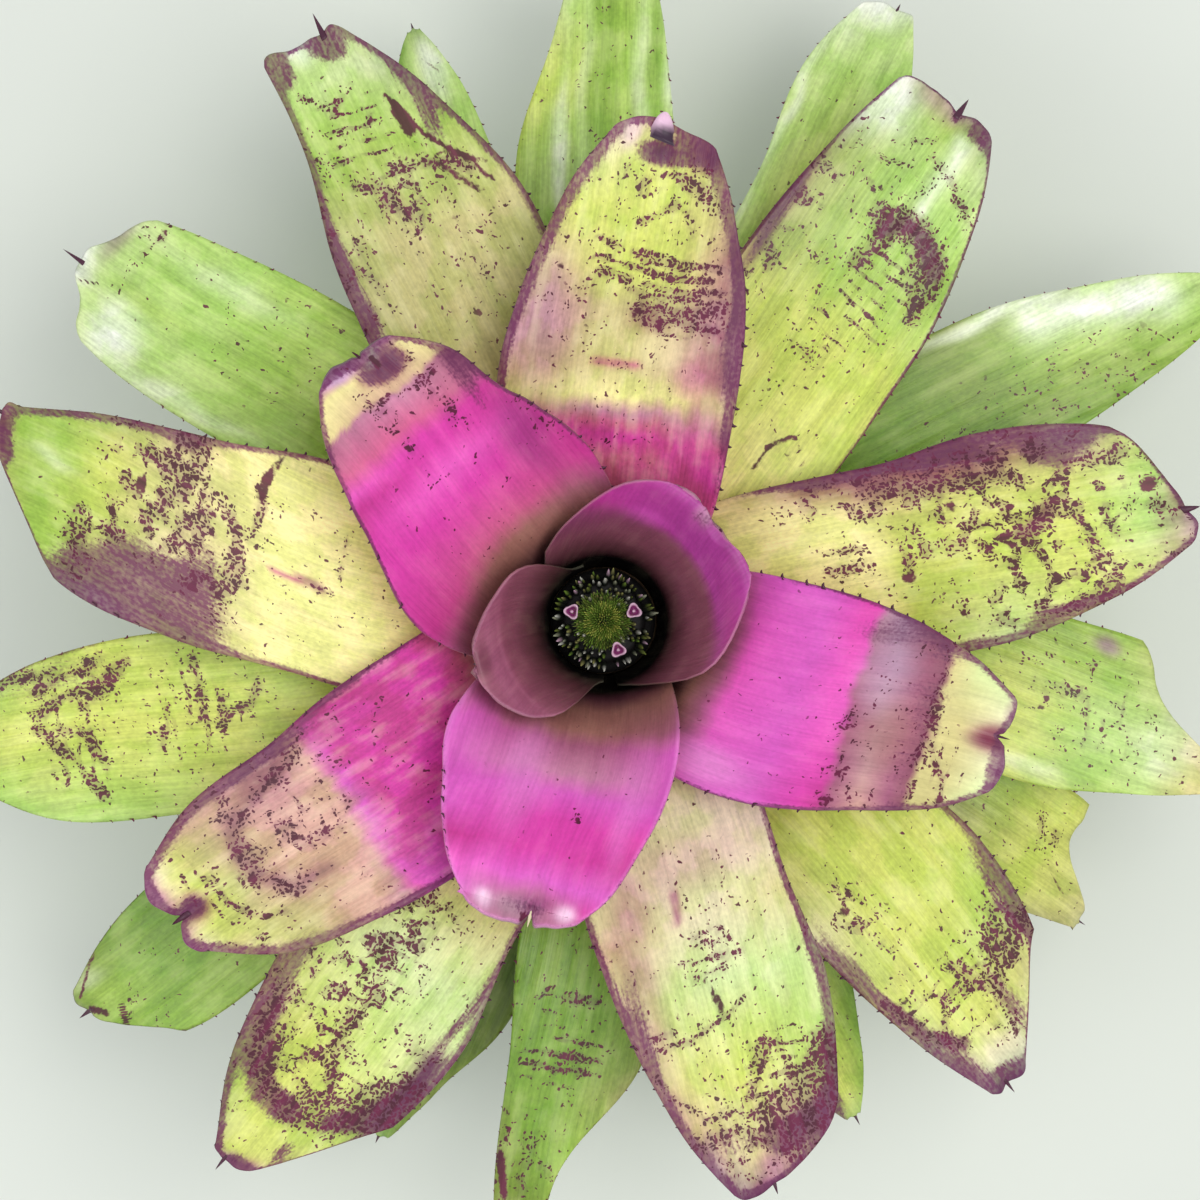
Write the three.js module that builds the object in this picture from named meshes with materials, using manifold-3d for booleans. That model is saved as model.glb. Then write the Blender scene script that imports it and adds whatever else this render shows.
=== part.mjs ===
import * as THREE from "three";
import { mergeVertices } from "three/addons/utils/BufferGeometryUtils.js";
import Module from "manifold-3d";

// A neoregelia bromeliad, cut from its roots: strap leaves whose sheaths nest round a short stem,
// with a nest of buds and three open flowers deep in the cup that the innermost leaves make.
// Millimetres, +Z up, origin at the centre of the stem's flat cut face, which the plant rests on.

// ---- driving dimensions ----
const STEM = { footRadius: 20, topRadius: 16.5, height: 50, chamfer: 1.5, sides: 32 };
const SEAT_GAP = 0.35; // between neighbours that touch on the plant
const SHEATH = {
  topAttachment: 49, // height on the stem where the innermost leaf grows
  lowAttachment: 6, // height where the outermost leaf grows
  bellyHeight: 66, // where the nested sheaths stand nearly upright
  bellyRadius: 19.2, // of the innermost sheath there
  rimHeight: 100, // where the innermost blade starts to lean out
  rimRadius: 29,
};
const LEAF = {
  rows: [0, 1, 2, 2.6, 3, 3.45, 3.95, 4.5, 5, 5.4, 5.75, 6], // along the profile, in key points
  columns: [-1, -0.76, -0.4, 0, 0.4, 0.76, 1], // across the leaf
  claspingColumns: [-1, -0.86, -0.68, -0.46, -0.23, 0, 0.23, 0.46, 0.68, 0.86, 1],
  clasping: 81, // degrees of clasp from which a leaf needs the finer columns
  baseThickness: 0.9,
  midThickness: 1.6,
  marginThickness: 0.7,
  straightFrom: 2.2, // key point where the cross-section leaves its ring round the stem
  straightTo: 4.1, // key point where the cross-section is almost straight
  cupAt: 30, // distance from the middle line where a cupped blade has risen by its cup
};
const BLADE_WIDTHS = { from: 3.33, to: 6 }; // key points that the half-widths in the table span
const TOOTH = { length: 1.5, halfBase: 0.9, hook: 0.6, firstRow: 3, perRow: 2, fullLeaves: 10 };
const CLAW = { length: 6.5, halfBase: 1.5 };

// Two lines a leaf, innermost first, which is also the order in which the sheaths nest.
//   azimuth, reach, height: place the tip; turn: swings the foot away from the tip's azimuth
//   bow: bends the blade sideways; level: how far the sheath lies outside the innermost one
//   clasp: half-angle of the ring that the sheath may hold; open: how straight the blade's section gets
//   arch, nod, cup: the blade's curves, in mm
//   left, right: the blade's half-widths in mm, at key points spread evenly over BLADE_WIDTHS
//   ends: the key points where the blade stops, along lines fanned out from the left margin to the right
const LEAF_FIELDS = [
  "azimuth", "reach", "height", "turn", "bow", "level", "clasp", "open",
  "arch", "nod", "cup", "left", "right", "ends",
];
const LEAVES = [
  [198, 40, 119, -8, 0, 0, 82, 0.1, 1, 3, 0,
    [43, 43], [43, 43], [1.85, 2.3, 4.75, 6, 3.5, 1.9, 1.6]],
  [38, 45, 121, -6, 0, 2.6, 112, 0.15, 2, 4, 0,
    [60, 60], [60, 60], [2.5, 2.6, 2.75, 3.3, 5.1, 6.15, 5.6, 6, 4.1, 2.65, 2.15, 1.95, 1.8]],
  [256, 85, 138, 8, 0, 5.4, 72, 0.95, 4, 4, 1,
    [28, 27, 25, 22, 15], [46, 39, 34, 28, 21], [5.95, 6.2, 6.5, 5.95, 6.5, 6.3, 5.95]],
  [130, 102, 146, 9, 5, 7.4, 71, 0.95, 5, 5, 1,
    [41, 34, 31, 26, 16], [37, 31, 24, 20, 11], [5.97, 6.1, 6.3, 6.1, 6.15, 6.08, 5.97]],
  [344, 120, 143, -10, 0, 9, 64, 0.95, 6, 5, 1.5,
    [35, 34, 29, 21, 12], [35, 33, 30, 26, 16], [5.95, 6.05, 6.06, 5.98, 6.16, 6.07, 5.95]],
  [215, 148, 138, 4, 0, 10.4, 62, 0.95, 7, 5, 2,
    [34, 34, 32, 27, 12], [32, 32, 28, 26, 18], [5.98, 6.15, 6.25, 6.12, 6.35, 6.18, 6]],
  [83, 144, 134, 4, 0, 11.6, 60, 0.95, 8, 5, 2,
    [37, 37, 33, 26, 14], [34, 34, 31, 23, 14], [5.97, 6.08, 6.22, 6.2, 6, 5.9, 5.82]],
  [287, 176, 126, 4, 0, 12.8, 58, 0.95, 9, 5, 2,
    [27, 27, 31, 26, 14], [34, 34, 30, 22, 10], [5.42, 5.58, 5.73, 5.85, 5.9, 5.9, 5.83]],
  [164, 183, 120, 12, -11, 13.9, 57, 0.95, 9, 5, 2,
    [31, 31, 37, 39, 22], [33, 33, 23, 13, 4], [5.4, 5.61, 6.13, 6.27, 6.25, 6.2, 6.12]],
  [11, 178, 118, 2, 0, 15, 56, 0.95, 9, 5, 2,
    [29, 29, 33, 30, 17], [31, 31, 29, 21, 9], [5.45, 5.6, 5.75, 5.92, 6, 5.95, 5.88]],
  [237, 193, 112, 0, -8, 16.1, 55, 0.95, 10, 5, 2,
    [30, 30, 36, 32, 16], [29, 29, 26, 19, 5], [5.25, 5.42, 6.05, 6.17, 6.12, 6.06, 6]],
  [115.5, 194, 108, -2, 0, 17.2, 54, 0.95, 10, 5, 2,
    [29, 29, 27, 20, 20], [33, 33, 33, 22, 6], [5.95, 6.1, 6, 6.1, 6.15, 6.05, 5.97]],
  [313, 183, 104, 3, -6, 18.3, 53, 0.95, 10, 6, 2,
    [34, 34, 38, 34, 14], [22, 22, 20, 14, 6], [5.3, 5.43, 6.1, 6.12, 6.15, 6.05, 5.98]],
  [191, 198, 97, 8, 0, 19.4, 52, 0.95, 11, 6, 2,
    [27, 27, 29, 28, 12], [25, 25, 26, 21, 11], [5.9, 5.98, 6.05, 6.1, 6.08, 6, 5.92]],
  [55, 191, 94, -1, 0, 20.5, 52, 0.95, 12, 6, 2,
    [31, 31, 30, 26, 20], [31, 31, 30, 23, 11], [5.83, 5.93, 5.95, 5.92, 5.94, 5.9, 5.84]],
  [262.5, 197, 86, 7, 0, 21.6, 51, 0.95, 12, 8, 2,
    [28, 28, 25, 8, 6], [19, 19, 14, 11, 8], [5.9, 5.97, 6.05, 6.1, 6.05, 5.97, 5.9]],
  [145.4, 194, 84, -6, 0, 22.7, 50, 0.95, 12, 6, 2,
    [24, 24, 24, 22, 17], [30, 30, 30, 27, 20], [5.6, 5.7, 5.8, 6.15, 5.86, 5.75, 5.65]],
  [346, 200, 77, 8, 0, 23.8, 50, 0.95, 12, 8, 2,
    [30, 30, 32, 32, 14], [20, 20, 20, 12, 5], [5.15, 5.23, 5.39, 6, 5.97, 5.92, 5.85]],
  [217.2, 201, 72, 0, 0, 24.9, 49, 0.95, 12, 8, 2,
    [23, 23, 24, 24, 14], [22, 22, 21, 18, 8], [5.45, 5.53, 5.8, 6.05, 6.1, 6.03, 5.97]],
  [89, 212, 70, 1, 0, 26, 48, 0.95, 12, 8, 2,
    [27, 27, 28, 18, 11], [22, 22, 20, 16, 10], [5.9, 5.97, 6.03, 6.08, 6.03, 5.97, 5.9]],
  [329, 177, 60, 0, -4, 26.9, 48, 0.95, 12, 8, 2,
    [22, 22, 25, 32, 26], [22, 22, 19, 9, 3], [5.47, 5.49, 5.53, 6.12, 6.1, 6.05, 6]],
  [28, 225, 65, 3, 0, 28.2, 48, 0.95, 13, 8, 2,
    [28, 28, 27, 18, 4], [22, 22, 18, 12, 4], [5.9, 5.95, 6, 6.05, 6, 5.95, 5.9]],
  [297, 178, 50, 0, 0, 29.3, 48, 0.95, 12, 8, 2,
    [23, 23, 20, 12, 2], [23, 23, 18, 12, 3], [5.95, 6, 6.02, 6.1, 6.02, 6, 5.95]],
  [65.5, 215, 53, -2, -5, 30.4, 48, 0.95, 11, 8, 2,
    [18, 18, 16, 18, 10], [20, 20, 18, 17, 6], [5.9, 5.95, 6.05, 6.12, 6.08, 6.03, 5.95]],
  [107.8, 199, 48, 2.5, 0, 31.5, 48, 0.95, 12, 8, 2,
    [20, 20, 19, 14, 2], [18, 18, 14, 10, 2], [5.97, 6, 6.03, 6.08, 6.03, 6, 5.97]],
  [246.5, 181, 42, 0, 0, 32.6, 48, 0.95, 12, 8, 2,
    [24, 24, 22, 11, 3], [22, 22, 18, 12, 3], [5.95, 6, 6.05, 6.15, 6.05, 6, 5.95]],
].map((row) => Object.fromEntries(LEAF_FIELDS.map((name, n) => [name, row[n]])));

const HEAD = {
  radius: 15.6, // of the whole nest
  plateRadius: 13.5,
  base: STEM.height + SEAT_GAP,
  plateHeight: 4,
  domeRise: 3.5,
  seed: 7,
};
const BUD = { count: 66, radius: 1.3, length: 6.5, sides: 5, innerRing: 6.4, outerRing: 14.2 };
const HEART = { count: 26, radius: 0.75, length: 5.5, sides: 3, ring: 5.6 };
const FLOWER = {
  ring: 10.2, // from the axis
  azimuths: [163, 18, 298],
  stalkRadius: 1.1,
  stalkLength: 5,
  mouthRadius: 2.7,
  height: 4.4,
  wall: 0.65,
};

const GOLDEN_ANGLE = Math.PI * (3 - Math.sqrt(5));
const COLOUR = {
  innerLeaf: 0xc92f9c,
  middleLeaf: 0xc6c95a,
  outerLeaf: 0x8fc04a,
  stem: 0x8d7a52,
  head: 0x3d5a24,
  petal: 0xe9cfe6,
};

// ---- small helpers ----
const radians = THREE.MathUtils.degToRad;
const smooth = (t, from, to) => THREE.MathUtils.smoothstep(t, from, to);
const mix = THREE.MathUtils.lerp;
const wasm = await Module();
wasm.setup();

// A seeded draw between 0 and 1.
function makeDraw(seed) {
  let state = seed;
  return () => {
    state = (state * 16807) % 2147483647;
    return state / 2147483647;
  };
}

function toSolid(geometry) {
  const bare = geometry.clone();
  bare.deleteAttribute("normal");
  bare.deleteAttribute("uv");
  const merged = mergeVertices(bare, 1e-4);
  return new wasm.Manifold(
    new wasm.Mesh({
      numProp: 3,
      vertProperties: merged.attributes.position.array,
      triVerts: new Uint32Array(merged.index.array),
    }),
  );
}

function toGeometry(solid) {
  const { vertProperties, triVerts } = solid.getMesh();
  const geometry = new THREE.BufferGeometry();
  geometry.setAttribute("position", new THREE.BufferAttribute(vertProperties, 3));
  geometry.setIndex(new THREE.BufferAttribute(triVerts, 1));
  geometry.computeVertexNormals();
  return geometry;
}

// ---- a leaf ----
const stemRadiusAt = (z) => mix(STEM.footRadius, STEM.topRadius, z / STEM.height);

// The middle line of a leaf as (distance from the axis, height), from its foot to its tip.
function leafProfile(leaf) {
  const outermost = LEAVES[LEAVES.length - 1].level;
  const footHeight = mix(SHEATH.topAttachment, SHEATH.lowAttachment, leaf.level / outermost);
  const footRadius = stemRadiusAt(footHeight) + SEAT_GAP + LEAF.baseThickness / 2;
  const belly = new THREE.Vector2(
    SHEATH.bellyRadius + leaf.level,
    SHEATH.bellyHeight - 0.35 * leaf.level,
  );
  const rim = new THREE.Vector2(
    SHEATH.rimRadius + 1.05 * leaf.level,
    SHEATH.rimHeight - 1.0 * leaf.level,
  );
  const tip = new THREE.Vector2(leaf.reach, leaf.height);
  const flank = new THREE.Vector2(
    mix(footRadius, belly.x, 0.66),
    mix(footHeight, belly.y, 0.44),
  );
  const bladePoint = (share) => {
    const point = rim.clone().lerp(tip, share);
    point.y += 4 * leaf.arch * share * (1 - share);
    return point;
  };
  return new THREE.SplineCurve([
    new THREE.Vector2(footRadius, footHeight),
    flank,
    belly,
    rim,
    bladePoint(0.34),
    bladePoint(0.68),
    tip,
  ]);
}

// A smooth line through evenly spaced values, read at a share of its length.
function readLine(values, share) {
  const line = new THREE.SplineCurve(values.map((value, n) => new THREE.Vector2(n, value)));
  return line.getPoint(THREE.MathUtils.clamp(share, 0, 1)).y;
}

// Half the leaf's width on one side, measured round the leaf, at key point k.
function halfWidth(leaf, u, k, radius) {
  const ring = radians(leaf.clasp) * radius;
  const share = (k - BLADE_WIDTHS.from) / (BLADE_WIDTHS.to - BLADE_WIDTHS.from);
  const blade = readLine(u < 0 ? leaf.right : leaf.left, share);
  return (ring ** -5 + blade ** -5) ** -0.2;
}

// The key point where the blade stops. Its lines crowd towards the margins, as the
// sines of even angles do, so that the end runs round into each margin.
const bladeEnd = (leaf, u) => readLine(leaf.ends, 0.5 - Math.asin(u) / Math.PI);

// The middle surface of a leaf. u runs across it from -1 to 1, and k along it in key points.
function leafPoint(leaf, profile, u, k) {
  const last = profile.points.length - 1;
  const end = bladeEnd(leaf, u);
  const along = k > 1 ? 1 + ((k - 1) * (end - 1)) / (last - 1) : k;
  const t = Math.min(along, last) / last;
  const { x: radius, y: height } = profile.getPoint(t);
  const tangent = profile.getTangent(t);
  const beyond = Math.max(along - last, 0) * (profile.getLength() / 12);

  const straight = leaf.open * smooth(along, LEAF.straightFrom, LEAF.straightTo);
  const bow = radius / (1 - straight);
  const across = u * halfWidth(leaf, u, along, radius);
  const a = radius - bow + bow * Math.cos(across / bow) + beyond * tangent.x;
  const b = bow * Math.sin(across / bow) + leaf.bow * smooth(along, 3, 6.5) ** 2;

  const slope = THREE.MathUtils.clamp(tangent.y / Math.max(tangent.x, 0.3), -0.4, 1.4);
  const onBlade = smooth(along, 2.6, 4.4);
  let z = height + beyond * tangent.y;
  z += slope * (Math.hypot(a, b) - radius) * smooth(along, 2.2, 3);
  z += onBlade * leaf.cup * (across / LEAF.cupAt) ** 2;
  z -= leaf.nod * smooth(along, 5, 6.3) ** 2;

  const swing = radians(leaf.azimuth + leaf.turn * (1 - smooth(along, 2.5, 5.5)));
  return new THREE.Vector3(
    a * Math.cos(swing) - b * Math.sin(swing),
    a * Math.sin(swing) + b * Math.cos(swing),
    z,
  );
}

function leafThickness(u, k) {
  const middle = mix(LEAF.baseThickness, LEAF.midThickness, smooth(k, 0.5, 3.5));
  const edge = 1 - (1 - Math.abs(u)) ** 2;
  return mix(middle, LEAF.marginThickness, edge);
}

// A closed skin of paired points: each point of the upper face has its partner on the lower face.
class PairedSkin {
  constructor() {
    this.position = [];
    this.index = [];
  }
  point(p) {
    this.position.push(p.x, p.y, p.z);
    return this.position.length / 3 - 1;
  }
  pair(upper, lower) {
    const made = this.point(upper);
    this.point(lower);
    return made;
  }
  at(i) {
    return new THREE.Vector3().fromArray(this.position, 3 * i);
  }
  // A new pair part of the way from one pair to another.
  between(i, j, share) {
    return this.pair(this.at(i).lerp(this.at(j), share), this.at(i + 1).lerp(this.at(j + 1), share));
  }
  // A polygon of pairs on both faces, as a fan from its first corner.
  patch(corners) {
    for (let n = 1; n < corners.length - 1; n++) {
      const [a, b, c] = [corners[0], corners[n], corners[n + 1]];
      this.index.push(a, b, c, a + 1, c + 1, b + 1);
    }
  }
  // The wall between the faces along a stretch of edge, or a spike that stands on that stretch.
  wall(stretch, apex) {
    for (let n = 0; n < stretch.length - 1; n++) {
      const [a, b] = [stretch[n], stretch[n + 1]];
      if (apex === undefined) this.index.push(b, a, a + 1, b, a + 1, b + 1);
      else this.index.push(b, a, apex, a + 1, b + 1, apex);
    }
    if (apex === undefined) return;
    const [first, last] = [stretch[0], stretch[stretch.length - 1]];
    this.index.push(first, first + 1, apex, last + 1, last, apex);
  }
  geometry() {
    const made = new THREE.BufferGeometry();
    made.setAttribute("position", new THREE.Float32BufferAttribute(this.position, 3));
    made.setIndex(this.index);
    made.computeVertexNormals();
    return made;
  }
}

function leafGeometry(leaf, teethPerRow) {
  const profile = leafProfile(leaf);
  const skin = new PairedSkin();
  const step = 0.01;
  const lines = leaf.clasp < LEAF.clasping ? LEAF.columns : LEAF.claspingColumns;
  const grid = LEAF.rows.map((k) =>
    lines.map((u) => {
      const here = leafPoint(leaf, profile, u, k);
      const [kLow, kHigh] = [Math.max(k - step, 0), Math.min(k + step, 6)];
      const [uLow, uHigh] = [Math.max(u - step, -1), Math.min(u + step, 1)];
      const along = leafPoint(leaf, profile, u, kHigh).sub(leafPoint(leaf, profile, u, kLow));
      const across = leafPoint(leaf, profile, uHigh, k).sub(leafPoint(leaf, profile, uLow, k));
      const up = along.cross(across).normalize().multiplyScalar(leafThickness(u, k) / 2);
      return skin.pair(here.clone().add(up), here.clone().sub(up));
    }),
  );
  const rows = grid.length - 1;
  const columns = grid[0].length - 1;
  const middle = columns / 2;

  // Splits the stretch of margin between two rows, with a tooth on each short piece.
  const margin = (row, column, teeth) => {
    const [a, b] = [grid[row][column], grid[row + 1][column]];
    const inward = grid[row][column === 0 ? 1 : columns - 1];
    const run = skin.at(b).sub(skin.at(a));
    const outward = skin.at(a).sub(skin.at(inward)).normalize();
    const forward = run.clone().normalize();
    const stops = [a];
    const spikes = [];
    for (let n = 0; n < teeth; n++) {
      const centre = (n + 0.5) / teeth;
      const half = TOOTH.halfBase / run.length();
      const [low, high] = [skin.between(a, b, centre - half), skin.between(a, b, centre + half)];
      const foot = skin.at(low).add(skin.at(low + 1)).add(skin.at(high)).add(skin.at(high + 1));
      const apex = foot.divideScalar(4);
      apex.addScaledVector(outward, TOOTH.length).addScaledVector(forward, TOOTH.hook);
      stops.push(low, high);
      spikes.push(skin.point(apex));
    }
    return { stops: [...stops, b], spikes };
  };

  for (let row = 0; row < rows; row++) {
    const teeth = row >= TOOTH.firstRow && row < rows - 1 ? teethPerRow : 0;
    for (let column = 1; column < columns - 1; column++) {
      if (row === rows - 1 && (column === middle - 1 || column === middle)) continue;
      const corners = [grid[row][column], grid[row + 1][column]];
      skin.patch([...corners, grid[row + 1][column + 1], grid[row][column + 1]]);
    }
    const right = margin(row, 0, teeth);
    const left = margin(row, columns, teeth);
    skin.patch([grid[row][1], ...right.stops, grid[row + 1][1]]);
    skin.patch([grid[row + 1][columns - 1], ...left.stops.slice().reverse(), grid[row][columns - 1]]);
    for (const [stops, spikes] of [
      [right.stops, right.spikes],
      [left.stops.slice().reverse(), left.spikes.slice().reverse()],
    ])
      for (let n = 0; n < stops.length - 1; n++)
        skin.wall([stops[n], stops[n + 1]], n % 2 ? spikes[(n - 1) / 2] : undefined);
  }

  // The claw at the tip stands on a stretch round the middle of the end.
  const end = grid[rows];
  const foot = grid[rows - 1];
  const tip = end[middle];
  const share = (column) => CLAW.halfBase / skin.at(tip).distanceTo(skin.at(end[column]));
  const low = skin.between(tip, end[middle - 1], share(middle - 1));
  const high = skin.between(tip, end[middle + 1], share(middle + 1));
  const reach = skin.at(tip).sub(skin.at(foot[middle])).normalize().multiplyScalar(CLAW.length);
  const claw = skin.point(skin.at(tip).add(skin.at(tip + 1)).multiplyScalar(0.5).add(reach));
  skin.patch([foot[middle - 1], end[middle - 1], low, tip, foot[middle]]);
  skin.patch([foot[middle], tip, high, end[middle + 1], foot[middle + 1]]);
  skin.wall([...end.slice(0, middle), low]);
  skin.wall([low, tip, high], claw);
  skin.wall([high, ...end.slice(middle + 1)]);
  skin.wall(grid[0].slice().reverse());
  return skin.geometry();
}

function makeLeaf(leaf, order) {
  const teeth = order < TOOTH.fullLeaves ? TOOTH.perRow : 1;
  const geometry = leafGeometry(leaf, teeth);
  const colour = order < 5 ? COLOUR.innerLeaf : order < 13 ? COLOUR.middleLeaf : COLOUR.outerLeaf;
  const material = new THREE.MeshStandardMaterial({ color: colour, roughness: 0.42 });
  const mesh = new THREE.Mesh(geometry, material);
  mesh.name = `leaf_${String(order + 1).padStart(2, "0")}`;
  return mesh;
}

// ---- the stem ----
function makeStem() {
  const { footRadius, topRadius, height, chamfer, sides } = STEM;
  const outline = [
    [0, 0],
    [footRadius - chamfer, 0],
    [footRadius, chamfer],
    [topRadius, height - chamfer],
    [topRadius - chamfer, height],
    [0, height],
  ].map(([x, y]) => new THREE.Vector2(x, y));
  const geometry = new THREE.LatheGeometry(outline, sides).rotateX(Math.PI / 2);
  const mesh = new THREE.Mesh(
    geometry,
    new THREE.MeshStandardMaterial({ color: COLOUR.stem, roughness: 0.85 }),
  );
  mesh.name = "stem";
  return mesh;
}

// ---- the nest of buds ----
const headTop = (radius) =>
  HEAD.base + HEAD.plateHeight + HEAD.domeRise * (1 - (radius / HEAD.radius) ** 2);

// A pointed body on the plate, leaning out with its distance from the axis.
function budSolid({ radius, length, sides }, distance, angle, lean, sunk) {
  const outline = [
    [0, 0],
    [0.7 * radius, 0],
    [radius, 0.42 * length],
    [0, length],
  ].map(([x, y]) => new THREE.Vector2(x, y));
  const geometry = new THREE.LatheGeometry(outline, sides).rotateX(Math.PI / 2);
  geometry.rotateY(lean);
  geometry.translate(distance, 0, headTop(distance) - sunk);
  geometry.rotateZ(angle);
  return toSolid(geometry);
}

const flowerPlaces = FLOWER.azimuths.map((azimuth) => ({
  x: FLOWER.ring * Math.cos(radians(azimuth)),
  y: FLOWER.ring * Math.sin(radians(azimuth)),
}));

function makeHead() {
  const draw = makeDraw(HEAD.seed);
  const plate = [[0, HEAD.base], [HEAD.plateRadius - 1, HEAD.base]];
  for (const share of [1, 0.75, 0.45])
    plate.push([HEAD.plateRadius * share, headTop(HEAD.plateRadius * share)]);
  plate.push([0, headTop(0)]);
  const outline = plate.map(([x, y]) => new THREE.Vector2(x, y));
  const bodies = [toSolid(new THREE.LatheGeometry(outline, 24).rotateX(Math.PI / 2))];
  const clear = FLOWER.mouthRadius + BUD.radius + SEAT_GAP;
  for (let n = 0; n < BUD.count; n++) {
    const share = Math.sqrt((n + 0.5) / BUD.count);
    const distance = mix(BUD.innerRing, BUD.outerRing, share ** 1.4);
    const angle = n * GOLDEN_ANGLE + 0.12 * draw();
    const size = 0.85 + 0.3 * draw();
    const [x, y] = [distance * Math.cos(angle), distance * Math.sin(angle)];
    if (flowerPlaces.some((place) => Math.hypot(place.x - x, place.y - y) < clear)) continue;
    const bud = { ...BUD, radius: BUD.radius * size, length: BUD.length * size };
    bodies.push(budSolid(bud, Math.min(distance, 12.6), angle, 0.02 * distance, 1));
  }
  for (let n = 0; n < HEART.count; n++) {
    const distance = HEART.ring * Math.sqrt((n + 0.5) / HEART.count);
    bodies.push(budSolid(HEART, distance, n * GOLDEN_ANGLE, 0.11 * distance, 1));
  }
  let solid = wasm.Manifold.union(bodies);
  const bore = new THREE.CylinderGeometry(
    FLOWER.stalkRadius + SEAT_GAP,
    FLOWER.stalkRadius + SEAT_GAP,
    3 * FLOWER.stalkLength,
    10,
  ).rotateX(Math.PI / 2);
  for (const { x, y } of flowerPlaces) {
    const floor = headTop(FLOWER.ring) - FLOWER.stalkLength / 2;
    const hole = bore.clone().translate(x, y, floor + 1.5 * FLOWER.stalkLength);
    solid = solid.subtract(toSolid(hole));
  }
  const mesh = new THREE.Mesh(
    toGeometry(solid),
    new THREE.MeshStandardMaterial({ color: COLOUR.head, roughness: 0.6 }),
  );
  mesh.name = "flower_head";
  return mesh;
}

// ---- an open flower: a stalk and a three-cornered cup of petals ----
function makeFlower(order) {
  const { stalkRadius, stalkLength, mouthRadius, height, wall } = FLOWER;
  const foot = headTop(FLOWER.ring) - stalkLength / 2 + SEAT_GAP;
  const throat = foot + stalkLength;
  const outline = [
    [0, foot],
    [stalkRadius, foot],
    [stalkRadius, throat],
    [0.72 * mouthRadius, throat + 0.35 * height],
    [mouthRadius, throat + height],
    [mouthRadius - wall, throat + height],
    [0.72 * mouthRadius - wall, throat + 0.45 * height],
    [0.4, throat + 0.3 * height],
    [0, throat + 0.6 * height],
  ].map(([x, y]) => new THREE.Vector2(x, y));
  const geometry = new THREE.LatheGeometry(outline, 6).rotateX(Math.PI / 2);
  const place = flowerPlaces[order];
  geometry.translate(place.x, place.y, 0);
  const mesh = new THREE.Mesh(
    geometry,
    new THREE.MeshStandardMaterial({ color: COLOUR.petal, roughness: 0.5 }),
  );
  mesh.name = `flower_${order + 1}`;
  return mesh;
}

const plant = new THREE.Group();
plant.add(makeStem(), makeHead());
FLOWER.azimuths.forEach((_, order) => plant.add(makeFlower(order)));
LEAVES.forEach((leaf, order) => plant.add(makeLeaf(leaf, order)));

export default plant;
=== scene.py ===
import math
import random

import bmesh
import bpy
import numpy as np
from mathutils import Matrix, Vector


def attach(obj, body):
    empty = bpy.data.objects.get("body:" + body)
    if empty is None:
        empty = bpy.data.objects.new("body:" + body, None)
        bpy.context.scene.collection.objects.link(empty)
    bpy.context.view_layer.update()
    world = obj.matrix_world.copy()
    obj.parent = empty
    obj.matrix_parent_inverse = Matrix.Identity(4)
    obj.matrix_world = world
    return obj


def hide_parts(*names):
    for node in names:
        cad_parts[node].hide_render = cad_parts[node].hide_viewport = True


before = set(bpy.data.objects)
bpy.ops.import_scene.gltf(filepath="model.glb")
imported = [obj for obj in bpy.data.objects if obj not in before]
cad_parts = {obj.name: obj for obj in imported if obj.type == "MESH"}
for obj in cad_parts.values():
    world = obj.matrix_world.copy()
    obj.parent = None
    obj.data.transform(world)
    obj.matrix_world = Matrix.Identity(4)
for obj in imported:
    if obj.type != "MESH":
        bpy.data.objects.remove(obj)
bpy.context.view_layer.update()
mm = 0.001  # lengths below are in millimetres, and Blender's are in metres

# the camera looks straight down into the rosette
cameraSetup = dict(place=(-0.9, 6.6, 1000), lens=90, sensor=36)


def linked(name, data):
    made = bpy.data.objects.new(name, data)
    bpy.context.collection.objects.link(made)
    return made


def placeCamera():
    data = bpy.data.cameras.new("camera")
    data.lens = cameraSetup["lens"]
    data.sensor_width = cameraSetup["sensor"]
    data.clip_start = 0.01
    camera = linked("camera", data)
    camera.location = Vector(cameraSetup["place"]) * mm
    bpy.context.scene.camera = camera


placeCamera()
print("camera placed")

palette = dict(
    cupShadeBlack="#0a0607", umber="#2e171b", cocoa="#673a44", mauveBrown="#8d4f63", budGapShade="#12180d",
    dustyRose="#a5607c", plum="#8c3473", violet="#a93f93", magenta="#bd2f87", fuchsia="#d93ea7",
    hotPink="#ec5fc2", orchid="#d95cc0", lightPink="#ee92d8", palePink="#f1c9e2", rose="#d2628f",
    mauvePink="#c484a0", greyMauve="#b48b9c", fawn="#caa388", cream="#e9e0b6", butter="#e5d991",
    straw="#d5ca88", lime="#cfd668", leafGreen="#a2c053", freshGreen="#b0d070", paleGreen="#cfe29c",
    grass="#7fa33c", moss="#7f8f3d", forest="#4f6427", olive="#a7a765", oliveGold="#c5bb7c",
    white="#f4f7ea", purple="#6b3d58", dusk="#94708a", tipPurple="#4b2438", ink="#471026",
    maroon="#66163d", silver="#b9bfa0", blood="#7a2f48", lavender="#c9a3c6", film="#8c5788",
    haze="#7c3c66", clay="#a87468", shell="#d8a797", clawGrey="#3a2638", lemon="#fdf3a2",
    celadon="#d6efac",
)


def toLinear(hexColour):
    channels = [int(hexColour[n:n + 2], 16) / 255 for n in (1, 3, 5)]
    return [c / 12.92 if c <= 0.04045 else ((c + 0.055) / 1.055) ** 2.4 for c in channels]


linearPalette = {name: np.array(toLinear(value)) for name, value in palette.items()}


class Wire:  # a socket that takes part in plain arithmetic
    def __init__(self, graph, socket):
        self.graph = graph
        self.socket = socket

    def maths(self, operation, *values):
        return self.graph.maths(operation, *values)


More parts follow.
